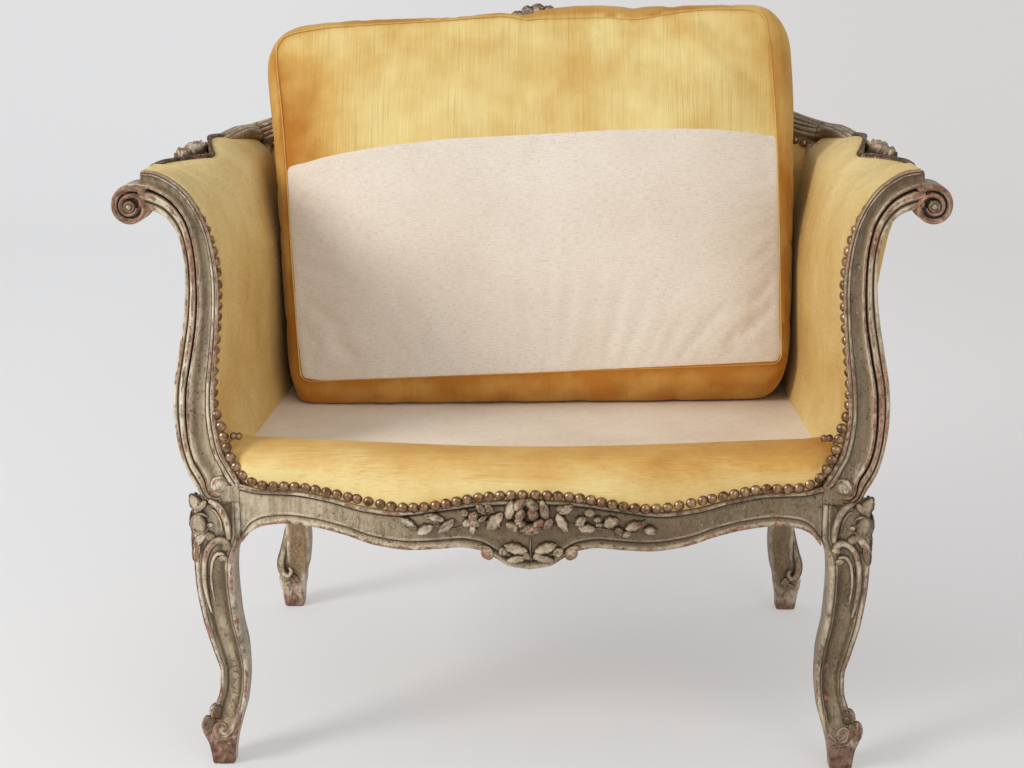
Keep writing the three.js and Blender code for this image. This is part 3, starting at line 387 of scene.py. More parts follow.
def velvet(name, dark, middle, light, threads, patch):
    """Short-pile velvet: the pile shifts its tone in patches, over ribs and fine creases along one direction; the wear
    attribute that sets its tone carries the pile's own tone and painted light and shade.
    """
    f = Finish(name, 0.8)
    f.shader.inputs["Sheen Weight"].default_value = 0.35
    f.shader.inputs["Sheen Roughness"].default_value = 0.4
    f.shader.inputs["Sheen Tint"].default_value = light
    f.shader.inputs["Specular IOR Level"].default_value = 0.1
    nap_and_shading = f.add("ShaderNodeAttribute", outlet="Fac", settings={"attribute_name": "wear"})
    wander = f.blend(0.006, f.place, f.noise(9, 2), "ADD")
    ribs = f.noise(1.0, 2, f.stretched(threads, wander))
    fine = f.noise(1.0, 2, f.stretched([2.2 * t for t in threads], wander))
    creases = f.ramp(f.noise(1.0, 1, f.stretched([1.1 * t for t in threads], wander)), (0.6, 0.0), (0.66, 1.0))
    creases = f.times(creases, f.patches(11, 2, (0.42, 0.1), (0.6, 1.0)))
    shade = f.maths("ADD", nap_and_shading, f.maths("MULTIPLY_ADD", f.noise(patch, 7, rough=0.66), 1.0, -0.5))
    ribbed = f.maths("ADD", f.maths("ADD", ribs, fine), -1.0)
    shade = f.maths("ADD", shade, f.times(ribbed, f.ramp(nap_and_shading, (0.12, 0.1), (0.5, 0.32))))
    tone = f.ramp(shade, (0.0, dark), (0.5, middle), (1.0, light))
    tone = f.blend(f.times(creases, 0.22), tone, dark)
    height = f.maths("ADD", f.maths("ADD", ribs, f.times(fine, 0.5)), f.times(f.noise(1500, 1), 0.3))
    f.raise_surface(f.maths("SUBTRACT", height, f.times(creases, 0.7)), 0.0010, 0.5)
    return f.finish(tone)


def linen_cloth(name, pale, shaded):
    """Plain woven linen with uneven threads and long slubs."""
    f = Finish(name, 0.9)
    f.shader.inputs["Specular IOR Level"].default_value = 0.1
    weave = f.add("ShaderNodeUVMap", settings={"uv_map": "cloth"})
    warp = f.noise(1.0, 2, f.stretched((1300, 120, 1), weave))
    weft = f.noise(1.0, 2, f.stretched((110, 1300, 1), weave))
    threads = f.maths("MULTIPLY_ADD", warp, 0.6, weft)
    tone = f.ramp(f.noise(5, 4), (0.3, shaded), (0.62, pale))
    tone = f.blend(f.ramp(f.times(threads, 0.625), (0.47, 0.0), (0.62, 0.28)), tone, colour(150, 132, 110))
    slubs = f.noise(1.0, 1, f.stretched((26, 620, 1), weave))
    tone = f.blend(f.ramp(slubs, (0.6, 0.0), (0.74, 0.16)), tone, colour(160, 142, 118))
    f.raise_surface(threads, 0.0006, 0.5)
    return f.finish(tone)


def aged_bronze(name, dark, middle, bright):
    """Bronze nail heads, mottled dark and bright in small random spots."""
    f = Finish(name, 0.36)
    f.shader.inputs["Metallic"].default_value = 0.88
    spots = f.noise(120, 3)
    tone = f.ramp(spots, (0.3, dark), (0.52, middle), (0.74, bright))
    f.raise_surface(spots, 0.0002, 0.4)
    return f.finish(tone, f.ramp(spots, (0.3, 0.42), (0.7, 0.32)))


def bare_wood():
    """Unfinished beech with fine grain."""
    f = Finish("bare_beech", 0.72)
    grain = f.noise(1.0, 5, f.stretched((14, 90, 90)))
    tone = f.ramp(grain, (0.3, colour(134, 98, 62)), (0.7, colour(186, 150, 106)))
    f.raise_surface(grain, 0.0006, 0.4)
    return f.finish(tone)


def jute_cloth():
    """Coarse jute, plainly woven."""
    f = Finish("jute", 0.95)
    bands = [f.add("ShaderNodeTexWave", outlet="Fac", settings={"bands_direction": way}, Scale=160.0, Distortion=1.5,
                   Vector=f.place) for way in "XY"]
    weave = f.maths("MAXIMUM", *bands)
    tone = f.ramp(weave, (0.2, colour(96, 74, 46)), (0.8, colour(172, 142, 98)))
    f.raise_surface(weave, 0.001, 0.6)
    return f.finish(tone)


paint = old_paint("old_paint", colour(212, 197, 166), colour(184, 165, 132), colour(116, 92, 62), 0.56)
carved_paint = old_paint("carved_paint", colour(182, 158, 124), colour(148, 120, 88), colour(84, 64, 42), 0.74)
rear_paint = old_paint("rear_paint", colour(190, 162, 124), colour(166, 136, 98), colour(112, 84, 54), 0.8)
gold = velvet("gold_velvet", colour(176, 114, 44), colour(207, 167, 94), colour(228, 208, 142), (640, 9, 9), 9)
roll_gold = velvet("roll_velvet", colour(168, 106, 42), colour(206, 160, 88), colour(230, 206, 142), (9, 560, 560), 12)
arm_gold = velvet("arm_velvet", colour(152, 108, 50), colour(204, 166, 98), colour(226, 206, 148), (120, 60, 560), 10)
linen = linen_cloth("natural_linen", colour(231, 220, 205), colour(220, 206, 188))
deck_linen = linen_cloth("platform_linen", colour(238, 224, 204), colour(220, 202, 179))
bronze = aged_bronze("aged_bronze", colour(82, 60, 43), colour(142, 112, 84), colour(190, 158, 128))
dark_bronze = aged_bronze("dark_bronze", colour(56, 42, 31), colour(98, 78, 60), colour(144, 120, 98))
beech = bare_wood()
jute = jute_cloth()


# Camera, lamps, floor
def look_from(place, turn, tilt, roll):
    """Camera at a place in millimetres, turned from straight ahead, tilted down and rolled, in degrees."""
    turn, tilt, roll = (math.radians(a) for a in (turn, tilt, roll))
    ahead = Vector((math.sin(turn) * math.cos(tilt), math.cos(turn) * math.cos(tilt), -math.sin(tilt)))
    level = Vector((math.cos(turn), -math.sin(turn), 0))
    upright = level.cross(ahead)
    right = math.cos(roll) * level + math.sin(roll) * upright
    up = math.cos(roll) * upright - math.sin(roll) * level
    pose = Matrix((right, up, -ahead)).transposed().to_4x4()
    pose.translation = at(*place)
    camera = bpy.data.cameras.new("camera")
    camera.sensor_width = 36
    camera.lens = 63.3
    obj = bpy.data.objects.new("camera", camera)
    obj.matrix_world = pose
    bpy.context.scene.collection.objects.link(obj)
    bpy.context.scene.camera = obj


def soft_lamp(name, place, aim, width, power, tint=(1, 1, 1)):
    lamp = bpy.data.lights.new(name, "AREA")
    lamp.shape = "DISK"
    lamp.size = width
    lamp.energy = power
    lamp.color = tint
    obj = bpy.data.objects.new(name, lamp)
    obj.location = place
    obj.rotation_euler = (Vector(aim) - Vector(place)).to_track_quat("-Z", "Y").to_euler()
    bpy.context.scene.collection.objects.link(obj)


def studio():
    """Pale sweep of floor and wall under plain soft light, painted a little darker towards the right as painted shade.
    """
    scene = bpy.context.scene
    scene.view_settings.view_transform = "Standard"
    world = bpy.data.worlds.new("studio")
    world.use_nodes = True
    world.node_tree.nodes["Background"].inputs["Color"].default_value = (0.93, 0.95, 1.0, 1)
    world.node_tree.nodes["Background"].inputs["Strength"].default_value = 0.64
    scene.world = world
    soft_lamp("key", (-3.1, -2.2, 2.5), (0, 0, 0.35), 1.5, 96, (1.0, 0.985, 0.96))
    soft_lamp("fill", (1.6, -3.4, 1.7), (0, 0, 0.4), 2.4, 24)

    bm = bmesh.new()
    bmesh.ops.create_grid(bm, x_segments=2, y_segments=96, size=1)
    half_run, half_width, near_edge = 6.5, 7, 4.2
    level_run, radius = 8.0, 1.2
    for vert in bm.verts:
        run = (vert.co.y + 1) * half_run
        turn = min(max(run - level_run, 0) / radius, math.pi / 2)
        rise = max(run - level_run - radius * math.pi / 2, 0)
        depth = min(run, level_run) + radius * math.sin(turn) - near_edge
        vert.co = Vector((vert.co.x * half_width, depth, radius * (1 - math.cos(turn)) + rise))
    bmesh.ops.recalc_face_normals(bm, faces=bm.faces)
    for face in bm.faces:
        face.smooth = True
        if face.normal.z < 0:
            face.normal_flip()
    mesh = bpy.data.meshes.new("paper_sweep")
    bm.to_mesh(mesh)
    bm.free()
    sweep = bpy.data.objects.new("paper_sweep", mesh)
    scene.collection.objects.link(sweep)
    f = Finish("pale_paper", 0.9)
    f.shader.inputs["Specular IOR Level"].default_value = 0.05
    left_to_right = f.add("ShaderNodeSeparateXYZ", Vector=f.place)
    # Painted shade: the paper is a little darker towards the right.
    side = f.ramp(f.maths("MULTIPLY_ADD", left_to_right, 0.2, 0.5), (0.25, 0.0), (0.75, 1.0))
    tone = f.blend(side, colour(241, 241, 241), colour(232, 229, 227))
    f.finish(tone)
    glow = f.add("ShaderNodeEmission", Color=tone, Strength=0.92)
    seen = f.add("ShaderNodeLightPath", outlet="Is Camera Ray")
    mirrored = f.add("ShaderNodeLightPath", outlet="Is Glossy Ray")
    behind = f.ramp(f.add("ShaderNodeSeparateXYZ", outlet=1, Vector=f.place), (0.0, 0.4), (0.25, 0.44), (1.0, 0.6))
    share = f.maths("MULTIPLY", f.maths("MAXIMUM", seen, mirrored), behind)
    mixed = f.tree.nodes.new("ShaderNodeMixShader")
    f.tree.links.new(share, mixed.inputs["Fac"])
    f.tree.links.new(f.shader.outputs[0], mixed.inputs[1])
    f.tree.links.new(glow, mixed.inputs[2])
    f.tree.links.new(mixed.outputs[0], f.tree.nodes["Material Output"].inputs["Surface"])
    mesh.materials.append(f.material)


# Shared forms
def strip(points, steps=3):
    """Moulding line through (a, b, wear) points, rounded between them; a point given twice stays sharp."""
    runs = [[points[0]]]
    for p in points[1:]:
        if p == runs[-1][-1]:
            runs.append([p])
        else:
            runs[-1].append(p)
    out = []
    for run in runs:
        if len(run) == 1:
            continue
        line = smooth_line(run)
        count = (len(run) - 1) * steps
        out += [line(k / count) for k in range(count + (run is runs[-1]))]
    return out


def carved_form(bm, place, size, turn=0.0, taper=0.0, cup=0.0, vein=0.0, ripple=0.0, point=0.0, wear=0.35):
    """Leaf, petal or bud of half sizes (long, wide, proud), set into the face that looks along -Y.

    Taper narrows its far end, cup and vein hollow it along its middle, ripple waves its edges, and point draws
    its ends out.
    """
    layer = bm.verts.layers.float["wear"]
    fresh = bmesh.ops.create_uvsphere(bm, u_segments=24, v_segments=14, radius=1)["verts"]
    turned = Matrix.Rotation(math.radians(90 - turn), 3, "Y")
    for vert in fresh:
        run = vert.co.z
        girth = max(math.sqrt(max(1 - run * run, 0)), 1e-4)
        across, out = vert.co.x / girth, -vert.co.y / girth
        outline = girth * (1 - point * abs(run) ** 1.5) * (1 - taper * run * (0.5 + 0.5 * run))
        outline *= 1 + ripple * math.sin(11 * run + (2 if across > 0 else 0))
        full = girth ** 0.45
        rise = math.copysign(abs(out) ** 0.8, out) * full
        if out > 0:
            hollow = math.exp(-(((across - 0.2 * math.sin(3 * run + place[0])) / 0.28) ** 2))
            rise -= (0.6 * cup + vein) * hollow * ease(run, -1.2, 0.6)
            rise += 0.42 * noise.noise(Vector((place[0] + 7 * across, 5 * out, place[2] + 10 * run)) * 0.32)
        spot = turned @ Vector((across * size[1] * outline, -1.45 * size[2] * rise, run * size[0]))
        vert.co = at(place[0] + spot.x, place[1] + spot.y, place[2] + spot.z)
        rub = mix(-0.8, 1.5 * wear, ease(out, 0.3, 0.95))
        if out > 0.6:
            rub -= 0.5 * max(0.75 - rise / max(full, 0.1), 0)
        vert[layer] = rub


def carved_cord(bm, points, radii, wear=0.5):
    """Half-sunk rounded band through points, with a radius at each."""
    sides, steps, flat = 10, 8, 0.8
    line = smooth_line([(*p, r) for p, r in zip(points, radii)])
    count = (len(points) - 1) * steps

    def row(u):
        here = line(u)
        ahead = line(min(u + 0.01, 1)).xyz - line(max(u - 0.01, 0)).xyz
        ahead.normalize()
        out = Vector((0, -1, 0))
        aside = ahead.cross(out).normalized()
        proud = aside.cross(ahead).normalized()
        if proud.y > 0:
            proud.negate()
        ring = []
        for k in range(sides):
            angle = 2 * math.pi * k / sides
            spot = here.xyz + aside * (math.cos(angle) * here.w) + proud * (math.sin(angle) * here.w * flat)
            ring.append((at(*spot), 1.3 * wear * max(math.sin(angle), 0) - 0.9 * (abs(math.cos(angle)) > 0.75)))
        return ring

    add_mesh(bm, skin(count, row))


def turned_boss(bm, place, profile, sides=28):
    """Boss turned on a lathe, facing -Y: profile of (radius, height above the face, wear)."""
    rings = strip(profile, 2)

    def row(u):
        radius, proud, wear = rings[round(u * (len(rings) - 1))]
        spin = (2 * math.pi * k / sides for k in range(sides))
        return [(at(place[0] + radius * math.cos(a), place[1] - proud, place[2] + radius * math.sin(a)), wear)
                for a in spin]

    add_mesh(bm, skin(len(rings) - 1, row))


# Arm posts
POST_OUTER = [
    (-12, 0.001), (-2, -0.006), (9, 0.008), (18, 0.044), (29, 0.098), (36, 0.166), (40, 0.256), (39, 0.347),
    (32, 0.451), (24, 0.562), (19.5, 0.671), (21, 0.762), (28, 0.826), (41, 0.868), (58, 0.885), (66, 0.889),
]
POST_RIDGE = [
    (-9, 0.021), (-3, 0.021), (2.5, 0.033), (6, 0.08), (16, 0.13), (21.5, 0.184), (23, 0.262), (21, 0.35),
    (13.5, 0.448), (6, 0.562), (4, 0.673), (6, 0.775), (14, 0.86), (31, 0.92), (52, 0.951), (67, 0.958),
]
POST_INNER = [
    (-33, 0.062), (-30.5, 0.074), (-27, 0.092), (-20.5, 0.119), (-14.8, 0.15), (-11, 0.194), (-7.5, 0.267),
    (-8.5, 0.355), (-12, 0.443), (-16, 0.557), (-18, 0.671), (-13.5, 0.78), (-4, 0.863), (16, 0.946), (44, 0.994),
    (60, 1),
]


def post_edge(table):
    return smooth_line([(FOOT_X + out, 0, LEG_TOP + share * POST_HEIGHT) for out, share in table])


post_outer, post_ridge, post_inner = (post_edge(t) for t in (POST_OUTER, POST_RIDGE, POST_INNER))
POST_BANDS = strip([
    (0, 10, 0.0), (0.03, 5, 0.2), (0.1, 1.4, 0.6), (0.19, 0.3, 0.9), (0.28, 1.2, 0.4), (0.33, 3.6, -0.7),
    (0.37, 3.9, -0.9), (0.41, 2.4, -0.3), (0.5, 0.7, 0.6), (0.62, 0.2, 1.15), (0.73, 1.3, 0.5), (0.8, 4.2, -0.7),
    (0.85, 7.2, -1.0), (0.89, 6.0, -0.9), (0.93, 1.8, 0.2), (0.97, -0.4, 1.1), (1.02, -0.7, 1.2), (1.09, 0.6, 0.4),
    (1.17, 3.4, -0.2), (1.3, 6.6, -0.4), (1.45, 7.6, -0.1), (1.57, 6.8, 0.15), (1.645, 4.6, -0.5), (1.67, 4.9, -0.9),
    (1.7, 3.0, 0.2), (1.75, 1.9, 0.7), (1.8, 2.2, 0.2), (1.835, 4.0, -0.9), (1.87, 3.2, 0.2), (1.92, 2.4, 1.0),
    (1.965, 3.2, 0.5), (2.0, 6.0, -0.4),
], 2)


def band_point(position, t):
    """Spot across the post's face at share t of its height: 0 its outer edge, 1 its ridge, 2 its inner edge."""
    outer, ridge, inner = post_outer(t), post_ridge(t), post_inner(t)
    return outer.lerp(ridge, position) if position <= 1 else ridge.lerp(inner, position - 1)


def arm_post():
    """S-curved post with its mouldings, the volute at its top and the curl at its foot."""

    def post_row(u):
        ring = []
        for position, depth, wear in POST_BANDS:
            spot = band_point(position, u)
            if 1.02 < position < 1.66:
                depth = mix(2.8, depth, ease(u, 0.1, 0.26))
            ring.append((at(spot.x, POST_FRONT_Y + depth, spot.z), wear))
        outer, inner = post_outer(u), post_inner(u)
        for y in (2, 14, 27):
            ring.append((at(inner.x, y, inner.z), -0.2))
        centre = outer.lerp(inner, 0.5)
        ring.append((at(inner.lerp(centre, 0.06).x, POST_BACK_Y, inner.z), -0.2))
        ring.append((at(outer.lerp(centre, 0.06).x, POST_BACK_Y, outer.z), -0.2))
        for y in (27, 14, 2):
            ring.append((at(outer.x, y, outer.z), 0.0))
        return ring

    bm = skin(150, post_row)

    centre_x, centre_z = FOOT_X + 77, LEG_TOP + 0.899 * POST_HEIGHT - 1.2
    rim = [(-40, 29), (0, 25), (45, 22.8), (90, 21), (180, 20.2), (270, 18.6), (330, 16.2), (370, 14.2), (450, 12.4),
           (540, 11), (620, 9.8)]
    band = [(-40, 11), (0, 8.5), (90, 7), (270, 6.2), (400, 5.4), (540, 4.8), (620, 2.6)]
    first, last = -46, 620
    walk = strip([(0, 1, -0.2), (0, 0.16, 0.2), (0.06, 0.04, 0.9), (0.3, -0.07, 1.35), (0.6, -0.05, 1.3),
                  (0.9, 0.07, 0.3), (1, 0.2, -0.9), (1, 0.42, -1.0)], 2)

    def volute_row(u):
        turn = first + u * (last - first)
        outside, thick = read_table(rim, turn), read_table(band, turn)
        proud = 1.5 * ease(turn, 300, 620)
        angle = math.radians(turn)
        ring = []
        for share, deep, wear in walk:
            radius = outside - share * thick
            y = POST_FRONT_Y - proud + deep * (POST_BACK_Y - POST_FRONT_Y - 1)
            ring.append((at(centre_x + radius * math.sin(angle), y, centre_z + radius * math.cos(angle)), wear))
        return ring

    add_mesh(bm, skin(170, volute_row))
    turned_boss(bm, (centre_x, POST_BACK_Y - 2, centre_z), [
        (0.2, 0, -0.2), (16.5, 0, -0.2), (16.5, 0, -0.2), (16.5, 38, -1), (16.5, 38, -1), (7.8, 38.5, -1),
        (7.2, 42, -0.7), (5.4, 46, -0.3), (3.4, 45, -0.8), (2.2, 47.5, 0.4), (0.2, 48, 0.4),
    ])
    turned_boss(bm, (FOOT_X - 8, -6, LEG_TOP + 21.5), [
        (0.3, 0, -1), (12, 0, -1), (12, 0, -1), (10.2, 4, -0.9), (9.4, 7, 0.0), (7.4, 10.2, 0.5), (4, 13.0, 0.5),
        (0.3, 13.4, 0.3),
    ])
    curl = [(-17.5, -10, 24), (-13, -15, 29.5), (-6, -17, 28), (-3.5, -18, 21), (-8, -18.4, 17.5), (-11, -18.2, 21)]
    carved_cord(bm, [(FOOT_X + x, y, LEG_TOP + z) for x, y, z in curl], (2.2, 3.4, 3.8, 3.4, 2.8, 2.0), wear=0.7)

    block = empty_mesh()
    left = JOINT_GAP - BLOCK_INNER
    corners = [(left, 0), (-7, 0), (-7, 9), (left, 25)]
    face = block.faces.new([block.verts.new(at(FOOT_X + x, RAIL_FACE_Y + 1.7, LEG_TOP + z)) for x, z in corners])
    grown = bmesh.ops.extrude_face_region(block, geom=[face])["geom"]
    bmesh.ops.translate(block, vec=(0, 0.04, 0), verts=[g for g in grown if isinstance(g, bmesh.types.BMVert)])
    bmesh.ops.subdivide_edges(block, edges=block.edges, cuts=7, use_grid_fill=True)
    for vert in block.verts:
        vert[block.verts.layers.float["wear"]] = -0.15
    add_mesh(bm, block)
    return bm


# Front legs
LEG_OUTER = [(0, 13.2), (26, 16.6), (36, 19.6), (44, 21.5), (52, 19.5), (62, 13), (75, 8.5), (95, 3), (115, 2.5),
             (140, 7.5), (190, 17.5), (240, 22.5), (275, 23), (331, 22)]
LEG_INNER = [(0, 12.6), (26, 15.6), (50, 21.5), (75, 28), (115, 31.5), (140, 31), (190, 25), (240, 23), (262, 24),
             (285, 31), (294, 33), (331, 33)]
LEG_CHANNEL = [(52, 0), (66, 6.4), (110, 7.4), (160, 8), (236, 7), (258, 0)]
BLOCK_STEP = [(256, 0), (283, 8.7), (331, 8.7)]


def leg_section(z):
    """Square section with broad worn ridges and a channel in each of its two show faces."""
    inner, outer = read_table(LEG_INNER, z), read_table(LEG_OUTER, z)
    channel, step = read_table(LEG_CHANNEL, z), read_table(BLOCK_STEP, z)
    narrow = min((inner + outer) / 44, 1)
    line = 0.4 * channel
    bare = 2.6 * (1 - ease(z, 8, 72)) - 0.6
    front = [
        (-inner, 4.5, 0.4), (-inner + 1.2, 1.6, 0.8), (-inner + 3.5 * narrow, 0.2, 0.8),
        (-inner + 6 * narrow, 0.5, 0.3), (-inner + 7.2 * narrow, 0.7 + line, -0.9),
        (-inner + 8.6 * narrow, 0.7, 0.5), (-inner + 10.2 * narrow, 1 + line, -0.6),
        (-inner + 12.4 * narrow, 0.85 * channel, -0.9), (-inner + 14.8 * narrow, channel, -0.5),
        ((outer - inner) / 2, channel * 1.12, -0.05), (outer - 14.8 * narrow, channel, -0.25),
        (outer - 12.4 * narrow, 0.85 * channel, -0.7), (outer - 10.2 * narrow, 0.7 + line, -0.4),
        (outer - 8.8 * narrow, 0.5, 0.6), (outer - 7.4 * narrow, 0.6 + line, -0.9),
        (outer - 6.2 * narrow, 0.3, 0.4), (outer - 3.2 * narrow, 0.2, 0.9), (outer - 1.2, 1.5, 0.9),
    ]
    points = []
    for x, depth, wear in front:
        sunk = step * (1 - ease(x, -inner + 9, -inner + 15))
        points.append((x, depth + sunk - outer, max(wear, bare)))
    side = [(-y, -x, wear) for x, y, wear in reversed(points)]
    back = [(mix(outer - 4.5, -inner + 6, share), inner, 0.1) for share in (0.3, 0.65, 1.0)]
    back += [(-inner + 1.5, inner - 1.5, 0.3), (-inner, inner - 6, 0.1)]
    back.append((-inner, mix(inner - 6, 4.5 - outer, 0.5), 0))
    return [Vector(p) for p in points + side + back]


def knee_carving(bm):
    """Hooked leaf, bud in its cartouche, scrolls round the head of the channel, and the foot's scroll."""

    def face_y(z):
        return -read_table(LEG_OUTER, z)

    def cord(points, wear):
        """Cord through (x, height, depth below the leg's face, radius) points."""
        carved_cord(bm, [(x, face_y(z) + deep, z) for x, z, deep, _ in points], [p[3] for p in points], wear=wear)

    carved_form(bm, (386, face_y(333) - 1, 334), (11, 7.5, 6), turn=60, taper=0.3, cup=0.4, point=0.1, wear=0.25)
    carved_form(bm, (379, face_y(333) - 1, 331), (7, 5, 5), turn=-50, taper=0.3, wear=0.25)
    carved_form(bm, (383, face_y(309), 309), (12, 9.5, 8), turn=80, wear=0.2)
    cord([(374, 317, -1, 1.6), (380, 320.5, -3, 2.8), (389, 316, -3, 3.2), (391.5, 307, -2.5, 3),
          (388, 299, -2.5, 2.8), (380, 297, -3, 2.8), (374, 302, -1, 1.6)], 0.25)
    carved_form(bm, (371, face_y(306) + 1, 307), (4, 3.4, 4), wear=0.5)
    carved_form(bm, (373, face_y(293) + 1, 294), (9, 6, 5), turn=25, cup=0.3, point=0.1, taper=0.2, wear=0.25)
    carved_form(bm, (384, face_y(290) + 0.5, 289), (12, 5.4, 5), turn=-50, cup=0.3, point=0.1, taper=0.4, wear=0.7)
    carved_form(bm, (388, face_y(275) + 1, 274), (13, 4.4, 4), turn=-80, taper=0.5, wear=0.9)
    cord([(371, 336, 0, 3.4), (362, 331, -1.5, 5.2), (354, 319, -1.5, 5.4), (350.5, 304, -1.5, 5.0),
          (349.8, 290, -1.2, 3.6)], 0.5)
    cord([(372, 327, 0.6, 1.4), (365, 323, -0.4, 2.2), (359.5, 313, -0.6, 2.2), (357.5, 300, 0, 1.4)], 0.3)
    cord([(350.5, 279, -0.5, 4.0), (352.5, 285, -2, 5.4), (358, 289, -2.2, 5.4), (366, 287, -2, 5.2),
          (373.5, 279, -1.8, 4.8), (378.5, 266, -1.2, 4.4), (380.5, 250, -0.8, 4.0), (380.5, 232, -0.2, 3.6),
          (378.5, 214, 0.8, 3.0), (375.5, 196, 2, 1.8)], 0.5)
    carved_form(bm, (352.5, face_y(281) - 0.5, 281), (4.8, 4.6, 5.5), wear=0.5)
    cord([(356.5, 266, 0, 3.0), (358.5, 271, -0.5, 3.6), (364, 271.5, -0.6, 3.2), (369.5, 264, 0, 2.8),
          (372.5, 250, 0.6, 2.4), (373, 232, 1.4, 2.0), (371.5, 214, 2.4, 1.4)], 0.5)
    carved_form(bm, (357.5, face_y(267) - 0.2, 267), (4.6, 4.4, 4.6), wear=0.5)
    cord([(350, 74, 3, 1.4), (351, 58, 1.5, 2.6), (356, 45, 0, 3.3), (366, 38, -1, 3.6), (375, 42, -1, 3.6),
          (377, 50, -1, 3.4), (371, 55.5, -0.6, 3.0), (364.5, 51, -0.6, 2.6), (367, 46, -0.8, 2.2)], 1)
    carved_form(bm, (FOOT_X + 17, face_y(52) + 4, 52), (11, 7, 7), turn=84, wear=0.8)
    carved_form(bm, (FOOT_X + 11, face_y(68) + 4, 67), (9, 5, 5), turn=104, wear=0.7)
    for x in (-9, -1, 7):
        carved_form(bm, (FOOT_X + x, face_y(31) + 1, 31.5), (4, 3.2, 3), wear=1)


def front_leg():
    """Cabriole leg with its block; the carving on its front is repeated, flatter, on its outer side."""
    heights = [0, 1.2]
    while heights[-1] < 330:
        heights.append(min(heights[-1] + 3.1, LEG_TOP - JOINT_GAP))

    def row(u):
        z = heights[round(u * (len(heights) - 1))]
        size = 0.94 if z < 0.5 else 1  # the sole's chamfer
        return [(at(FOOT_X + x * size, y * size, z), wear) for x, y, wear in leg_section(z)]

    bm = skin(len(heights) - 1, row)
    carving = empty_mesh()
    knee_carving(carving)
    for vert in carving.verts:
        vert[carving.verts.layers.float["wear"]] += 0.5 * (1 - ease(vert.co.z, 0.04, 0.1))
    side = carving.copy()
    corner = at(FOOT_X, 0, 0)
    for vert in side.verts:
        x, y = vert.co.x - corner.x, vert.co.y - corner.y
        face = -read_table(LEG_OUTER, vert.co.z * 1000) * 0.001
        y = face + min(y - face, 0) * 0.4 + max(y - face, 0)
        vert.co.x, vert.co.y = corner.x - y, corner.y - x
    add_mesh(bm, carving, 1)
    add_mesh(bm, side, 1)
    return bm


# Rear legs with their posts
REAR_SHIFT = [(0, 0), (45, 1), (75, -8), (116, -12), (280, -3), (362, -2), (500, 9), (717, 24)]
REAR_RAKE = [(0, 1), (50, 0.96), (116, 0.66), (180, 0.38), (250, 0.08), (290, 0), (362, 0)]
BACK_LEAN = [(362, 0), (717, 33)]
REAR_HALF = [(0, 14), (26, 17), (45, 20), (60, 19), (75, 17.6), (180, 18.6), (250, 22), (290, 25), (362, 25),
             (376, 17), (717, 17)]


def rear_centre(z):
    """Where the middle of the rear leg and post stands at a height: across and depth."""
    y = REAR_POST_Y + read_table(BACK_LEAN, z) + (REAR_FOOT_Y - REAR_POST_Y) * read_table(REAR_RAKE, z)
    return REAR_FOOT_X + read_table(REAR_SHIFT, z), y


def rear_leg():
    """Raked leg in one piece with its back post, with a scroll on its front."""
    heights = [0, 1.2] + [4 + 6 * k for k in range(60)] + [362, 366, 370, 376, 384] + [410 + 35 * k for k in range(9)]

    def row(u):
        z = heights[round(u * (len(heights) - 1))]
        x0, y0 = rear_centre(z)
        half = read_table(REAR_HALF, z) - 1.2 * (z < 0.5)
        bare = 1.5 * (1 - ease(z, 2, 60)) - 0.12
        ring = []
        for k in range(40):
            angle = 2 * math.pi * (k + 0.5) / 40
            c, s = math.cos(angle), math.sin(angle)
            reach = half / (abs(c) ** 7 + abs(s) ** 7) ** (1 / 7)
            corner = abs(math.sin(2 * angle)) > 0.9
            ring.append((at(x0 + reach * c, y0 + reach * s, z), max(bare, 0.7 * corner)))
        return ring

    bm = skin(len(heights) - 1, row)
    carving = empty_mesh()
    x, y = rear_centre(45)
    carved_form(carving, (x - 4, y - 20, 48), (8, 6, 4), turn=50, cup=0.5, wear=0.8)
    carved_form(carving, (x + 5, y - 20, 40), (7, 4, 3), turn=-30, cup=0.3, wear=0.8)
    x, y = rear_centre(88)
    scroll = [(14, -8, 140), (17, -11, 114), (21, -14, 92), (25, -15, 74), (23, -16, 59), (15, -18, 54),
              (10, -18.5, 61), (13, -18.5, 67)]
    carved_cord(carving, [(x + out, y + back, z) for out, back, z in scroll], (2, 4, 5.5, 6.4, 6, 5, 3.8, 2.6))
    add_mesh(bm, carving, 1)
    return bm


# Seat rails
RAIL_UPPER = [(0, 16), (0.15, 19), (0.3, 27), (0.46, 35), (0.56, 32), (0.7, 21), (0.82, 15), (0.93, 14), (1, 9)]
RAIL_LOWER = [(0, 101), (0.07, 97), (0.115, 88), (0.165, 79), (0.23, 76), (0.31, 79), (0.42, 82), (0.53, 78),
              (0.64, 67), (0.75, 59), (0.84, 56), (0.92, 59), (0.965, 66), (1, 80)]


def rail_face_y(x):
    return RAIL_FACE_Y - (RAIL_BOW / 2) * (1 + math.cos(math.pi * x / RAIL_HALF))


def rail_section(upper, lower, thick):
    """Moulded face of a seat rail, as (depth behind the face, height, wear) points."""
    line = strip([
        (9, upper, -0.5), (9, upper, -0.5), (2.2, upper + 0.2, -0.5), (0.2, upper - 0.5, 0.4),
        (-1.9, upper - 2, 0.8), (-2.1, upper - 3.8, 0.6), (-0.6, upper - 5.2, 0.1), (1.6, upper - 6, -0.8),
        (2.9, upper - 7, -1.0), (2.6, upper - 8.2, -0.3), (1.8, upper - 10, 0), (1.7, mix(upper, lower, 0.4), 0),
        (1.9, mix(upper, lower, 0.6), 0), (1.4, lower + 14.5, 0), (0.5, lower + 12.8, 0.6),
        (0.9, lower + 11.4, 0.1), (2.3, lower + 10.2, -0.8), (1.6, lower + 8.8, -0.3), (-0.6, lower + 6.6, 0.3),
        (-1.7, lower + 4, 0.9), (-1.2, lower + 1.4, 1.0), (1.4, lower, 0.8), (3, lower, 0.3), (3, lower, 0.3),
        (thick, lower, 0),
    ], 2)
    return line + [Vector((thick, RAIL_TOP, 0)), Vector((9, RAIL_TOP, 0))]


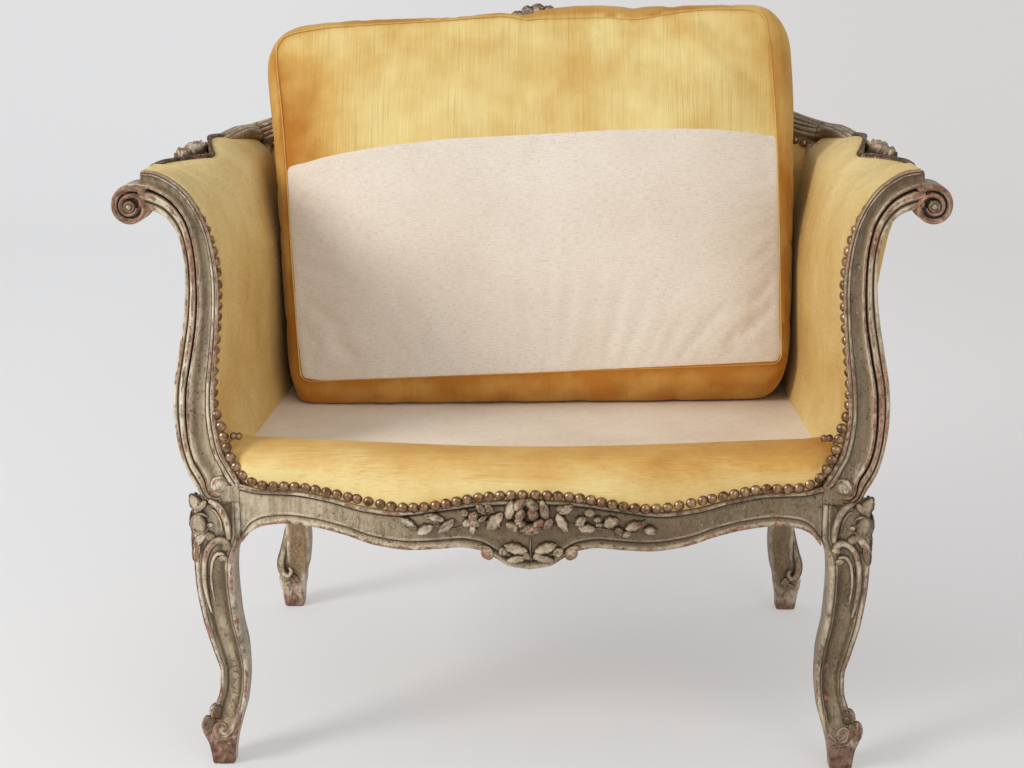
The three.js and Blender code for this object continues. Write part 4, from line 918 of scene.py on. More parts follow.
def front_rail():
    """Serpentine rail with its rose, leaf sprays, buds on their stems, and the palmette drop between two curls."""

    def row(u):
        x = (2 * u - 1) * RAIL_HALF
        share = abs(2 * u - 1)
        face = rail_face_y(x)
        upper, lower = RAIL_TOP - read_table(RAIL_UPPER, share), RAIL_TOP - read_table(RAIL_LOWER, share)
        section = rail_section(upper, lower, RAIL_BACK_Y - face)
        brown = 0.35 * math.exp(-((x / 150) ** 4))
        return [(at(x, face + depth, z), wear - brown) for depth, z, wear in section]

    bm = skin(220, row)
    carving = empty_mesh()

    def form(x, z, long, wide, turn, proud=5.0, **more):
        carved_form(carving, (x, rail_face_y(x) + 1.2, z), (long / 2, wide / 2, proud), turn, **more)

    rose_petals = [(-21.5, 334, 23, 14, 76, 7), (17, 334, 24, 14, -76, 7), (-11, 341, 19, 14, 38, 9),
                   (3, 341, 19, 14, -38, 9), (-10, 330, 14, 13, 60, 12.5), (4.5, 330.5, 14, 14, -60, 12.5),
                   (-17.5, 314.5, 19, 12, -20, 9), (1.5, 311.5, 27, 16, 0, 9.5), (20.5, 318, 16, 12, 40, 8.5),
                   (11, 319.5, 14, 11, 20, 10), (-10, 320, 14, 10, -20, 10)]
    for x, z, long, wide, turn, proud in rose_petals:
        form(x, z, long, wide, turn, proud, cup=0.2, ripple=0.07, wear=0.5)
    sprays = [
        (-138, 313.5, 22, 11, -33), (-119.4, 307.4, 21, 14, 26), (-108.1, 322, 25, 11, -14),
        (-94.7, 312.5, 25, 13, 42), (-63.7, 325.5, 14, 13, 50), (-69.9, 317.3, 13, 12, 10), (-61.7, 317.6, 13, 12, -20),
        (-64.8, 310.5, 14, 11, 80), (-53.4, 322.8, 14, 6, 35), (-54.5, 333.8, 17, 10, -45), (-45.2, 335, 14, 10, -50),
        (-39, 320, 27, 18, 48), (42.7, 334.9, 19, 13, 30), (37.6, 317.9, 26, 14, -62), (59, 320.4, 15, 13, 40),
        (66.1, 311.1, 20, 14, -4), (93.6, 318.1, 19, 16, 20), (103.1, 306.7, 13, 11, -40), (111.5, 303.3, 12, 10, 10),
        (120, 312.9, 22, 13, 20), (128.4, 314.5, 13, 7, 45), (139, 306.4, 17, 13, -10),
    ]
    for x, z, long, wide, turn in sprays:
        form(x, z, long, wide, turn, 6.5, taper=0.3, cup=0.75, point=0.2, ripple=0.14, wear=0.5)
    for x, z, size in ((-74, 329.2, 10), (35.5, 336, 9), (69.1, 330, 12), (78.3, 321.7, 9), (80.3, 315.6, 8)):
        form(x, z, size, size, 0, 6, wear=0.3)
    drop = [(-15, 287, 24, 10, -14), (19, 288, 22, 10, 20), (-14, 275, 20, 7, 12), (18, 275, 20, 7, -14),
            (-3, 279, 9, 6, -50), (9, 279, 9, 6, 50), (33, 283, 11, 9, 30), (-30, 284, 9, 8, -30)]
    for x, z, long, wide, turn in drop:
        form(x, z, 1.2 * long, 1.5 * wide, turn, 6, taper=0.2, cup=0.5, point=0.1, ripple=0.14, wear=0.5)
    stems = [
        ([(-33.8, 308.1), (-51.4, 318.9), (-66.8, 315.4), (-87.4, 308.7), (-106, 311.1), (-126.6, 307),
          (-141.1, 310.4)], 1.2),
        ([(23.6, 311.1), (36.5, 318.9), (51.8, 314.6), (69.1, 311), (89.5, 308.3), (110.5, 303.4),
          (125.3, 303.6)], 1.2),
        ([(2, 299), (1, 288), (2, 272)], 1.6),
    ]
    for points, size in stems:
        carved_cord(carving, [(x, rail_face_y(x) + 1.0, z) for x, z in points], [size] * len(points), wear=0.2)
    curl = [(62, 286.5), (54, 288), (46.5, 285.5), (43.5, 280), (46, 275.5), (50.5, 276)]
    eye = [(0.3, 0, 0), (7.4, 0, -0.3), (7.4, 0, -0.3), (7, 4.2, 0.7), (5, 6.2, 0.8), (0.3, 7, 0.8)]
    for side in (-1, 1):
        carved_cord(carving, [(side * x, rail_face_y(x) - 0.5, z) for x, z in curl], (2.0, 3.0, 3.4, 3.4, 3.2, 2.4),
                    wear=0.8)
        turned_boss(carving, (side * 48.5, rail_face_y(48) + 3, 280.5), eye, 20)
    add_mesh(bm, carving, 1)
    return bm


SIDE_LOWER = [(0, 80), (0.1, 64), (0.25, 60), (0.5, 72), (0.75, 60), (0.9, 66), (1, 82)]


def side_rail_x(share):
    """How far from the middle the side rail's face stands at a share of its length."""
    return 385 - 5 * share + 5 * math.sin(math.pi * share)


def side_rail():
    first, last = BLOCK_INNER + JOINT_GAP, REAR_POST_Y - 25 - JOINT_GAP

    def row(u):
        face = side_rail_x(u)
        section = rail_section(RAIL_TOP - 12, RAIL_TOP - read_table(SIDE_LOWER, u), face - SIDE_RAIL_INNER)
        return [(at(face - depth, mix(first, last, u), z), wear) for depth, z, wear in section]

    return skin(80, row)


# Crest and arm rails
CREST_LINE = [(0, 1, 1), (60, 0.98, 0.965), (120, 0.93, 0.853), (180, 0.84, 0.671), (240, 0.71, 0.448),
              (300, 0.53, 0.245), (350, 0.3, 0.098), (393, 0, 0)]
ARM_LINE = [(408, 478, 718), (418, 440, 715), (425, 390, 710), (428, 320, 705.5), (430, 250, 704), (431, 180, 703.5),
            (430, 100, 707), (428, 23, 715)]
CREST_PLAN = [(x, CREST_END_Y + back * CREST_BOW) for x, back, _ in CREST_LINE]
CREST_ARCH = [(x, CREST_END + rise * CREST_RISE) for x, _, rise in CREST_LINE]
top_half = [(x, y, z) for (x, y), (_, z) in zip(CREST_PLAN, CREST_ARCH)] + ARM_LINE
top_line = smooth_line([(-x, y, z) for x, y, z in reversed(top_half[1:])] + top_half)
TOP_JOINT = 0.5 + (len(CREST_LINE) - 1) / (2 * (len(top_half) - 1))
TOP_JOINT_GAP = 0.0006
ARM_NOSE = [(150, 0), (185, 4), (212, 15), (232, 24), (256, 25), (285, 19), (318, 10), (365, 3), (410, 0)]
ARM_BACK = [(225, 0), (262, 6), (285, 9), (302, 7), (322, 1), (345, -1), (420, -2)]

CREST_REEDS = even_walk(strip([
    (8.5, -48, 0), (8.5, -28, -0.6), (8.5, -28, -0.6), (12, -28, -0.2), (12.8, -26.6, 0.2), (12, -25.4, -0.9),
    (13.6, -24.2, 0.3), (14.6, -22, 0.6), (13.4, -19.9, 0.2), (11.8, -19, -1), (13.4, -18, 0.2), (14.4, -15.8, 0.7),
    (13.2, -13.6, 0.2), (11.4, -12.6, -1), (13, -11.6, 0.3), (13.7, -9.4, 0.6), (12.2, -7.5, 0.2), (10.6, -6.6, -1),
    (11.6, -5.4, 0.2), (11, -3.4, 0.5), (8.6, -1.8, 0.2), (6.6, -1.9, -0.9), (4.8, -0.4, 0.3), (0, 0.3, 0.4),
    (-6, 0.1, 0.3), (-11, -1.2, 0.3), (-14, -5, 0.3), (-14.5, -12, 0), (-14.3, -21, 0), (-13, -26, 0.2),
    (-8.5, -28, -0.5), (-8.5, -28, -0.5), (-8.5, -48, 0),
], 2), 110)
ARM_REEDS = even_walk(strip([
    (8, -40, 0), (8, -20, -0.6), (8, -20, -0.6), (12, -18, -0.4), (14, -13, -0.3), (14, -7, 0.1), (12.6, -3.6, 0.5),
    (10.6, -3.2, 0.2), (9.4, -5.2, -1), (8.4, -2.6, 0.2), (6.2, -0.6, 0.7), (4.2, -1.6, 0.2), (3, -4.6, -1),
    (1.8, -1.6, 0.3), (-0.8, -0.2, 0.7), (-3.2, -1.3, 0.2), (-4.2, -4.4, -1), (-5.4, -1.4, 0.3), (-7.6, -0.3, 0.7),
    (-9.6, -1.6, 0.2), (-10.6, -4.2, -1), (-11.8, -2.6, 0.4), (-13.6, -5, 0.6), (-14, -10, 0.1), (-13, -17, 0),
    (-8, -20, -0.5), (-8, -20, -0.5), (-8, -40, 0),
], 2), 110)


def top_rail(first, last, along):
    """Reeded rail along a stretch of the top line, with the crest's section going over into the arms'."""

    def row(u):
        t = mix(first, last, u)
        here = top_line(t)
        ahead = (top_line(t + 0.002) - top_line(t - 0.002)).normalized()
        aside = Vector((ahead.y, -ahead.x, 0)).normalized()
        up = aside.cross(ahead)
        arm = ease(t, TOP_JOINT - 0.03, TOP_JOINT + 0.03)
        nose = read_table(ARM_NOSE, here.y) if t > TOP_JOINT else 0
        back = read_table(ARM_BACK, here.y) if t > TOP_JOINT else 0
        ring = []
        for crest, rail in zip(CREST_REEDS, ARM_REEDS):
            a, b, wear = crest.lerp(rail, arm)
            a += nose * ease(a, -6, 12) - back * ease(-a, 2, 14)
            b -= 0.12 * nose * ease(a, 6, 30)
            ring.append((at(*(here + aside * a + up * b)), wear))
        return ring

    return skin(along, row)


def arm_rail():
    """Arm's top rail, with leaves and buds laid on it from front to back."""
    bm = top_rail(TOP_JOINT + TOP_JOINT_GAP, 1.0, 90)
    carving = empty_mesh()
    leaves = [(0, 0, 24, 13, 8, 0), (22, -5, 13, 9, 8, -20), (21, 7, 14, 8, 8, 15), (-52, 2, 11, 11, 9, 0),
              (-38, 8, 11, 6, 6, 20), (-38, -4, 12, 6, 6, -20), (40, 2, 16, 9, 8, 5)]
    for run, across, long, wide, proud, turn in leaves:
        carved_form(carving, (run, 0, across), (long, wide, proud), turn=turn, taper=0.25, cup=0.4 * (run > -30),
                    vein=0.1, ripple=0.1, wear=0.55)
    origin = at(0, 0, 0)
    for vert in carving.verts:
        run, up, across = (vert.co - origin) * 1000
        vert.co = at(433 + across, 277 + run, 703.5 - up)
    add_mesh(bm, carving, 1)
    return bm


def crest_rail():
    """Arched rail between the arms, with its small ornament."""
    bm = top_rail(1 - TOP_JOINT + TOP_JOINT_GAP, TOP_JOINT - TOP_JOINT_GAP, 200)
    carving = empty_mesh()
    x, y, z = top_half[0]
    leaves = [(0, 6, 22, 22, 90, 9), (-14, 5, 20, 18, 150, 9), (14, 5, 20, 18, 30, 9), (-27, 0, 22, 14, 172, 8),
              (27, 0, 22, 14, 8, 8), (-6, -8, 16, 12, 80, 9), (7, -8, 16, 12, 100, 9), (0, -18, 20, 10, 90, 7)]
    for across, up, long, wide, turn, proud in leaves:
        carved_form(carving, (x + across, y - 9, z + up), (long / 2, wide / 2, proud), turn, cup=0.45, ripple=0.1,
                    wear=0.5)
    add_mesh(bm, carving, 1)
    return bm


# Velvet and linen
def arm_pad_x(y, z):
    """How far from the middle the inside arm's face stands at a depth and height."""
    front = [(362, 332), (386, 344), (436, 359), (502, 358), (586, 352), (632, 356), (666, 368), (696, 388),
             (714, 412)]
    rear = [(362, 328), (462, 336), (562, 342), (632, 358), (688, 374), (707, 390), (714, 402)]
    return mix(read_table(front, z), read_table(rear, z), ease(y, POST_FRONT_Y, ARM_PAD_END))


ARM_VELVET_EDGE = [(-20, 424), (29, 430), (74, 436), (141, 438), (171, 429), (201, 417), (222, 405), (255, 405),
                   (280, 411), (300, 417), (334, 424), (390, 426), (444, 419), (480, 402)]
ARM_VELVET_TOP = [(-20, 716), (29, 713), (70, 711), (100, 709.5), (190, 706), (240, 704), (262, 704), (285, 707),
                  (310, 713), (340, 715), (380, 713), (430, 708), (480, 704)]


def arm_velvet():
    """Padded inside arm: at the front it follows the post's inner edge, farther back it rolls over up to the rail."""
    heights = [PAD_FOOT, 376, 386, 400, 420, 446, 476, 510, 546, 580, 610, 634, 654, 670, 682]
    post = []
    for k in range(61):
        t = mix(0.13, 1.0, k / 60)
        spot, ahead = post_inner(t), post_inner(t + 0.005) - post_inner(t - 0.005)
        ahead.normalize()
        post.append(Vector((spot.x - 2.2 * ahead.z, spot.z + 2.2 * ahead.x - 1.2 * (k / 60) ** 8, 0)))
    post = even_walk([Vector((post[0].x - 6, PAD_FOOT, 0))] + post, 44)
    post_side = [(p.y, p.x) for p in post[:36]]

    def row(u):
        y = mix(POST_FRONT_Y + 9, ARM_PAD_END, u)
        edge, top = read_table(ARM_VELVET_EDGE, y), read_table(ARM_VELVET_TOP, y)
        swell = 3.5 * math.sin(math.pi * min(max((y + 10) / 470, 0), 1))
        face = [Vector((arm_pad_x(y, z) - swell * math.sin(math.pi * (z - PAD_FOOT) / 330), z, 0)) for z in heights]
        last = face[-1]
        for share in (0.25, 0.5, 0.75, 1.0):
            face.append(Vector((mix(last.x, edge - 1, share), mix(last.y, top, math.sin(share * math.pi / 2)), 0)))
        face = even_walk(face, 44)
        near = 1 - ease(y, POST_BACK_Y + 1, 110)
        ring = []
        for own, front in zip(face, post):
            x, z, _ = own.lerp(front, near)
            # Paler along the top as painted light, darker towards the rear below the top as painted shadow, and a
            # little paler near the foot.
            nap_and_shading = 0.55 + 0.3 * ease(z, 560, 700) + 0.1 * ease(420 - z, -40, 40)
            nap_and_shading -= 0.34 * ease(y, 180, 420) * ease(690 - z, 0, 60)
            ring.append((at(x, y, z), nap_and_shading))
        x, z, _ = face[-1].lerp(post[-1], near)
        ring += [(at(x + 2.5, y, z - 1.5), 0.5), (at(x + 3, y, z - 8), 0.5)]
        thick = mix(3, 24, ease(y, 20, 60))
        for z in (650, 580, 500, 440, 400, 372):
            inner = mix(arm_pad_x(y, z), read_table(post_side, z), near)
            behind = min(inner + thick, outer_panel_x(y, (z - 350) / 360) - 6)
            ring.append((at(max(behind, inner + 2), y, z), 0.5))
        lean = 0.028 * ease(y, 400, ARM_PAD_END)
        return [(spot + Vector((0, lean * ease(spot.z, 0.44, 0.69), 0)), nap_and_shading) for spot, nap_and_shading in ring]

    return skin(90, row, size=(0.48, 0.4))


def crest_y(x):
    return read_table(CREST_PLAN, abs(x))


def crest_top(x):
    return read_table(CREST_ARCH, abs(x))


def back_face_y(x, share):
    """Depth of the inside back's face at a share of its height."""
    foot, top = REAR_POST_Y - 40, crest_y(x) - CREST_DEPTH / 2 - 14
    return mix(foot, top, share) - (6 + 34 * (1 - (x / REAR_FOOT_X) ** 2)) * math.sin(math.pi * share)


def back_velvet():
    """Padded inside back, tucked under the crest at its top and behind the platform at its foot."""
    half = REAR_FOOT_X + 5

    def row(u):
        x = (2 * u - 1) * half
        top = crest_top(x) - VELVET_DROP
        rim = crest_y(x) - CREST_DEPTH / 2 + 5
        ring = []
        for k in range(22):
            share = k / 21 * 0.97
            y = mix(back_face_y(x, share), rim - 3, ease(share, 0.86, 0.99))
            ring.append((at(x * mix(1, 1.06, share), y, mix(DECK_FOOT, top, share)), 0.3 + 0.2 * share))
        behind = [(rim - 1, top + 0.5), (rim + 0.5, top - 1), (rim + 0.5, top - 20), (REAR_POST_Y + 16, 560),
                  (REAR_POST_Y - 9, 440), (REAR_POST_Y - 9, DECK_FOOT)]
        ring += [(at(x, y, z), 0.4) for y, z in behind]
        return ring

    return skin(70, row, size=(0.74, 0.5))


def arm_rail_place(y):
    """How far from the middle and how high the arm rail's top line runs at a depth."""
    line = [(393, CREST_END_Y, CREST_END)] + ARM_LINE
    return tuple(read_table([(-spot[1], spot[k]) for spot in line], -y) for k in (0, 2))


def outer_panel_x(y, share):
    """How far from the middle the outside arm stands at a depth and share of its height."""
    post = [(up, out) for out, up in POST_OUTER[3:]]
    at_post = FOOT_X + read_table(post, 0.04 + 0.85 * share) - 3 + 11 * ease(share, 0.86, 0.95) * ease(y, 34, 62)
    foot = side_rail_x((y - 33) / 420) - 4.5
    top = arm_rail_place(y)[0] + 9 + 0.5 * read_table(ARM_BACK, y)
    low = 6 * ease(y, 370, 460) * math.sin(math.pi * min(share / 0.4, 1))
    panel = mix(foot, top, share ** 2.5) + 14 * math.sin(math.pi * share) + 4 * ease(share, 0.82, 0.94) + low
    return mix(at_post, panel, ease(y, POST_BACK_Y, POST_BACK_Y + 110))


def outer_arm_velvet():
    """Thin velvet from the side rail up to the arm rail, between the two posts."""

    def row(u):
        y = mix(POST_BACK_Y + JOINT_GAP, REAR_POST_Y + 6, u)
        top = arm_rail_place(y)[1] - 21
        shares = [k / 16 for k in range(17)]
        face = [(outer_panel_x(y, s), mix(PANEL_FOOT, top, s)) for s in shares]
        ring = [(at(x, y, z), 0.55) for x, z in face]
        return ring + [(at(x - 3.5, y, z), 0.5) for x, z in reversed(face)]

    return skin(40, row, size=(0.46, 0.35))


def outer_back_velvet():
    """Thin velvet over the back, between the posts."""
    half = REAR_FOOT_X + 4

    def row(u):
        x = (2 * u - 1) * half
        top = crest_top(x) - VELVET_DROP
        foot, rim = REAR_POST_Y + 14.3, crest_y(x) + CREST_DEPTH / 2 - 5
        face = []
        for k in range(15):
            s = k / 14
            face.append((mix(foot, rim, s) + 5 * math.sin(math.pi * s), mix(RAIL_TOP - 30, top, s)))
        return [(at(x, y + 4, z), 0.5) for y, z in face] + [(at(x, y, z), 0.5) for y, z in reversed(face)]

    return skin(60, row, size=(0.74, 0.5))


ROLL_HALF = 351
ROLL_LAP = [(0, 346.3), (50, 343.1), (101, 335.3), (155, 327.3), (188, 330.3), (236, 341.3), (276, 347.3),
            (300, 348.2), (316, 348.8), (325, 351.6), (331, 355.6), (337, 360.4), (342, 365.5), (347, 372),
            (ROLL_HALF, 380)]


def front_roll():
    """Velvet roll on the seat's front edge; its ends turn in behind the posts."""

    def row(u):
        x = (2 * u - 1) * ROLL_HALF
        share = min(abs(x) / RAIL_HALF, 1)
        face = rail_face_y(share * RAIL_HALF) + 9 * ease(abs(x), 318, ROLL_HALF)
        lap = read_table(ROLL_LAP, abs(x))
        crown = max(ROLL_TOP - 2 + 5 * share * share, lap + 16)
        middle = mix(lap + 8, crown - 14, 0.5)
        line = strip([
            (8.5, lap, 0.3), (8.5, lap, 0.3), (0.5, lap + 0.2, 0.55), (-2, lap + 6, 0.78), (-3.2, middle, 0.8),
            (-2.2, crown - 20, 0.6), (3, crown - 11, 0.5), (16, crown - 3, 0.42), (40, crown, 0.32),
            (66, crown - 4, 0.3), (86, 384, 0.3), (97, 377, 0.3), (99, DECK_FOOT, 0.3), (99, DECK_FOOT, 0.3),
            (60, DECK_FOOT - 0.5, 0.3), (9, DECK_FOOT - 0.5, 0.3),
        ], 3)
        # Painted light and shade: the roll is paler towards its left end and darker towards its right.
        pale = 0.12 + 0.15 * ease(-x, 100, 320) - 0.26 * ease(x, 60, 300)
        return [(at(x, face + depth, max(z, lap) if depth < 9.2 else z), min(nap_and_shading + pale, 1))
                for depth, z, nap_and_shading in line]

    return skin(170, row, size=(0.7, 0.18))


def seat_linen():
    """Platform under the cushion, slightly sagged and uneven."""
    half = 350
    low, high = 40, REAR_POST_Y - 12

    def row(u):
        x = (2 * u - 1) * half
        ring = []
        for k in range(60):
            y = mix(low, high, k / 59)
            sag = 0.4 + 1.6 * math.cos(math.pi * x / 720) * math.sin(math.pi * k / 59)
            ring.append((at(x, y, DECK_TOP - sag + 0.7 * noise.noise(Vector((x, y, 0)) * 0.012)), 0.5))
        return ring + [(at(x, high, DECK_FOOT), 0.5), (at(x, low, DECK_FOOT), 0.5)]

    return skin(90, row, size=(0.7, 0.43))


# Loose cushion, in its own plan: across, from its rear edge, and up from its underside
CUSHION_FOOT = (12, 258, DECK_TOP + 42)
CUSHION_TILT = math.radians(2.3)
CUSHION_SLOPE = math.radians(71)
CUSHION_LONG = 474
CUSHION_HALF_THICK = 52


def stand_cushion(bm):
    """Stands plan coordinates in millimetres on the rear edge, leaning back, underside to the viewer."""
    stand = Matrix.Rotation(CUSHION_SLOPE, 3, "X") @ Matrix.Rotation(CUSHION_TILT, 3, "Z")
    for vert in bm.verts:
        spot = stand @ vert.co + Vector(CUSHION_FOOT)
        spot.z = max(spot.z, DECK_TOP + 0.6)
        vert.co = at(*spot)


CUSHION_TOP = [(-336, 456), (-319, 463), (-266, 470), (-173, 472), (-107, 473), (-45, 476), (-24, 474), (-11, 468),
               (6, 470), (38, 469), (90, 468), (142, 463), (169, 467), (221, 472), (274, 471), (310, 464)]
CUSHION_BULGE = [(-340, 9), (-226, 13), (-67, 9), (12, 19), (60, 24), (142, 24), (190, 16), (222, 13), (306, 11)]
CUSHION_LEFT = [(0, -316), (69, -320), (174, -325), (281, -329), (361, -333), (448, -338), (474, -337)]
CUSHION_RIGHT = [(0, 307), (84, 310), (149, 312), (280, 315), (360, 314), (420, 312), (474, 308)]


def cushion_seam(y):
    """Where the seams at the sides of the face run, left and right, at a distance from the rear edge."""
    return read_table(CUSHION_LEFT, y), read_table(CUSHION_RIGHT, y)


def cushion_spot(a, b, c):
    """Point of the filled cushion for shares -1 to 1 across, along and through it."""
    a, b = (math.copysign(1 - (1 - abs(t)) ** 1.35, t) for t in (a, b))
    half, corner = 315, mix(13, 42, max(1 - c * c, 0) ** 0.5)
    x, y = a * half, b * CUSHION_LONG / 2
    over_x, over_y = abs(x) - (half - corner), abs(y) - (CUSHION_LONG / 2 - corner)
    if over_x > 0 and over_y > 0:
        s, t = over_x / corner, over_y / corner
        x = math.copysign(half - corner + corner * s * math.sqrt(1 - t * t / 2), x)
        y = math.copysign(CUSHION_LONG / 2 - corner + corner * t * math.sqrt(1 - s * s / 2), y)
    y += CUSHION_LONG / 2
    left, right = cushion_seam(y)
    x = mix(left, right, 0.5 + 0.5 * x / half)
    y += ease(y, 330, 474) * (read_table(CUSHION_TOP, x) - CUSHION_LONG) * (0.5 + 0.5 * c)
    ring = max(abs(a), abs(b))
    z = -CUSHION_HALF_THICK + c * (CUSHION_HALF_THICK + 9 * (1 - ring ** 3.2) * (abs(c) > 0.999))
    if ring > 0.999:
        end = (2 * y - CUSHION_LONG) / CUSHION_LONG
        bulge = max(1 - c * c, 0) ** 0.5
        y += bulge * (read_table(CUSHION_BULGE, x) * ease(end, 0.8, 1.0) - 40 * ease(-end, 0.82, 1.0))
        x += bulge * (mix(12, 33, y / CUSHION_LONG) if x > 0 else -17) * ease(abs(x), 250, 300)
        notch = math.exp(-(((x + 14) / 13) ** 2)) * ease(end, 0.9, 1.0)
        y -= bulge * 9 * notch
    return Vector((x, y, z))


def cushion_form():
    """The filled case, in its own plan."""
    bm = bmesh.new()
    bmesh.ops.create_cube(bm, size=2)
    bmesh.ops.subdivide_edges(bm, edges=bm.edges, cuts=44, use_grid_fill=True)
    for vert in bm.verts:
        vert.co = cushion_spot(*vert.co)
    return bm


def seam_line(c):
    """Points round one of the two seams between a face (c is 1 or -1) and the boxing."""
    count = 260
    walk = []
    for k in range(count):
        t = 4 * k / count
        run = 2 * (t % 1) - 1
        a, b = ((run, 1), (1, -run), (-run, -1), (-1, run))[int(t)]
        walk.append(cushion_spot(a, b, c))
    return walk


def swell(bm, held, size=0.0075, pressure=3.4, reach=0.02):
    """Fills a closed cover by a cloth simulation that holds the spots round its seams.

    Works in metres on the cover as it lies flat; no point moves farther than reach.
    """
    scene = bpy.context.scene
    mesh = bpy.data.meshes.new("cover")
    bm.to_mesh(mesh)
    bm.free()
    cover = bpy.data.objects.new("cover", mesh)
    scene.collection.objects.link(cover)
    even = cover.modifiers.new("even", "REMESH")
    even.mode = "VOXEL"
    even.voxel_size = size
    start = bpy.data.meshes.new_from_object(cover.evaluated_get(bpy.context.evaluated_depsgraph_get()))
    bpy.data.objects.remove(cover)
    cloth_piece = bpy.data.objects.new("cloth_piece", start)
    scene.collection.objects.link(cloth_piece)
    tree = kdtree.KDTree(len(held))
    for k, spot in enumerate(held):
        tree.insert(spot, k)
    tree.balance()
    rest = [vert.co.copy() for vert in start.vertices]
    pinned = cloth_piece.vertex_groups.new(name="held")
    for k, spot in enumerate(rest):
        gap = tree.find(spot)[2]
        pinned.add([k], 1 - ease(gap, 0.006, 0.02), "REPLACE")
    fill = cloth_piece.modifiers.new("fill", "CLOTH")
    fill.settings.vertex_group_mass = "held"
    fill.settings.use_pressure = True
    fill.settings.uniform_pressure_force = pressure
    fill.settings.effector_weights.gravity = 0
    fill.settings.shrink_min = -0.009
    fill.point_cache.frame_start, fill.point_cache.frame_end = 1, 20
    for step in range(1, 21):
        scene.frame_set(step)
    swollen = bpy.data.meshes.new_from_object(cloth_piece.evaluated_get(bpy.context.evaluated_depsgraph_get()))
    scene.frame_set(1)
    out = bmesh.new()
    out.from_mesh(swollen)
    for vert, before in zip(out.verts, rest):
        move = vert.co - before
        if move.length > reach:
            vert.co = before + move * (reach / move.length)
    bpy.data.objects.remove(cloth_piece)
    return out


LINEN_TOP = [(-345, 281), (-330, 284), (-257, 295), (-178, 303), (-86, 308), (6, 309), (110, 310), (214, 308),
             (316, 299), (345, 296)]
LINEN_FOOT = [(-345, 12), (-321, 8), (-284, 1), (-212, 0), (-60, 0), (72, 2), (201, 3), (291, 4), (345, 6)]
STAINS = [(47, 396), (47, 452), (126, 452), (196, 452), (290, 460)]


def cushion_nap_and_shading(x, y, z):
    """How pale the cushion's velvet is at a place in its plan: the pile's own tone and its stains, with painted shade
    from the left arm and painted light and shade on the boxing.
    """
    cloud = noise.noise(Vector((x, y, z)) * 0.02)
    if y < 16:
        return 0.1 + 0.12 * cloud
    left, right = cushion_seam(y)
    if z < -8 or y > read_table(CUSHION_TOP, x) + 1 or x < left - 1 or x > right + 1:
        # Boxing: painted shade darkens its lower left; painted light makes its upper left and upper right paler.
        left_boxing_shading = 0.12 * ease(-x, 200, 330) * mix(-1.4, 1, ease(y, 60, 300))
        return 0.2 + 0.2 * ease(x, 150, 300) * ease(y, 200, 460) + left_boxing_shading + 0.2 * cloud
    # Face: darker towards both sides, most on the left, as the pile's tone and painted shade from the left arm; paler
    # at the top left as painted light.
    across = 0.66 - 0.62 * ease(-x, 190, 320) - 0.14 * ease(x, 250, 320)
    up = 0.4 * ease(-x, 180, 300) * ease(y, 400, 450)
    stained = sum(0.22 * math.exp(-(((x - a) / 22) ** 2) - ((y - b) / 22) ** 2) for a, b in STAINS)
    cloud = 0.12 * noise.noise(Vector((x * 0.011, y * 0.009, 3.1)))
    cloud += 0.16 * noise.noise(Vector((x * 0.035, y * 0.035, 7.7)))
    return min(max(across + up - stained + cloud + 0.16, 0.0), 1.0)


def cushion():
    """Velvet case, the linen panel sewn over its underside, and the ridges of its seams."""
    bm = cushion_form()
    seams = [seam_line(1), seam_line(-1)]
    bmesh.ops.scale(bm, vec=(0.001, 0.001, 0.001), verts=bm.verts)
    bm = swell(bm, [spot * 0.001 for line in seams for spot in line])
    bmesh.ops.scale(bm, vec=(1000, 1000, 1000), verts=bm.verts)
    lines = kdtree.KDTree(sum(len(line) for line in seams))
    for k, spot in enumerate(spot for line in seams for spot in line):
        lines.insert(spot, k)
    lines.balance()
    middle = Vector((0, CUSHION_LONG / 2, -CUSHION_HALF_THICK))
    layer = bm.verts.layers.float.new("wear")
    for vert in bm.verts:
        gap = lines.find(vert.co)[2]
        inward = (middle - vert.co).normalized()
        gathered = 1.6 * noise.noise(Vector((vert.co.x * 0.05, vert.co.y * 0.05, vert.co.z * 0.02)))
        vert.co += inward * (2.4 * math.exp(-((gap / 8) ** 2)) + gathered * math.exp(-((gap - 14) / 12) ** 2))
        # Darker along the seams' grooves as painted shade.
        vert[layer] = cushion_nap_and_shading(*vert.co) - 0.25 * math.exp(-((gap / 5) ** 2))
    surface = bvhtree.BVHTree.FromBMesh(bm)

    def on_face(x, y, above):
        hit = surface.ray_cast(Vector((x, y, 60)), Vector((0, 0, -1)))[0]
        hit = hit or surface.find_nearest(Vector((x, y, 0)))[0]
        return Vector((x, y, hit.z + above))

    def panel_row(u):
        ring = []
        for k in range(61):
            v = k / 60
            left, right = cushion_seam(mix(0, 300, v))
            x = mix(left + 1.5, right - 1.5, u)
            y = mix(read_table(LINEN_FOOT, x), read_table(LINEN_TOP, x), v)
            edge = min(u * 640, (1 - u) * 640, v * 300, (1 - v) * 300)
            ring.append((on_face(x, y, mix(-0.2, 1.1, ease(edge, 0, 3))), 0.5))
        return ring

    panel = skin(120, panel_row, closed=False, size=(0.64, 0.3))
    outline = seams[0]

    def ridge_row(u):
        k = round(u * len(outline)) % len(outline)
        spot = outline[k]
        ahead = (outline[(k + 1) % len(outline)] - outline[k - 1]).normalized()
        aside = ahead.cross(Vector((0, 0, 1))).normalized()
        spot = spot + (middle - spot).normalized() * 1.2
        ring = []
        for j in range(6):
            angle = math.pi * j / 3
            lift = aside * math.cos(angle) + Vector((0, 0, math.sin(angle)))
            ring.append((spot + lift, mix(0.2, 0.46, ease(spot.y, 0, 12))))
        return ring

    ridge = skin(len(outline), ridge_row)
    add_mesh(bm, ridge)
    for mesh in (bm, panel):
        stand_cushion(mesh)
    return bm, panel


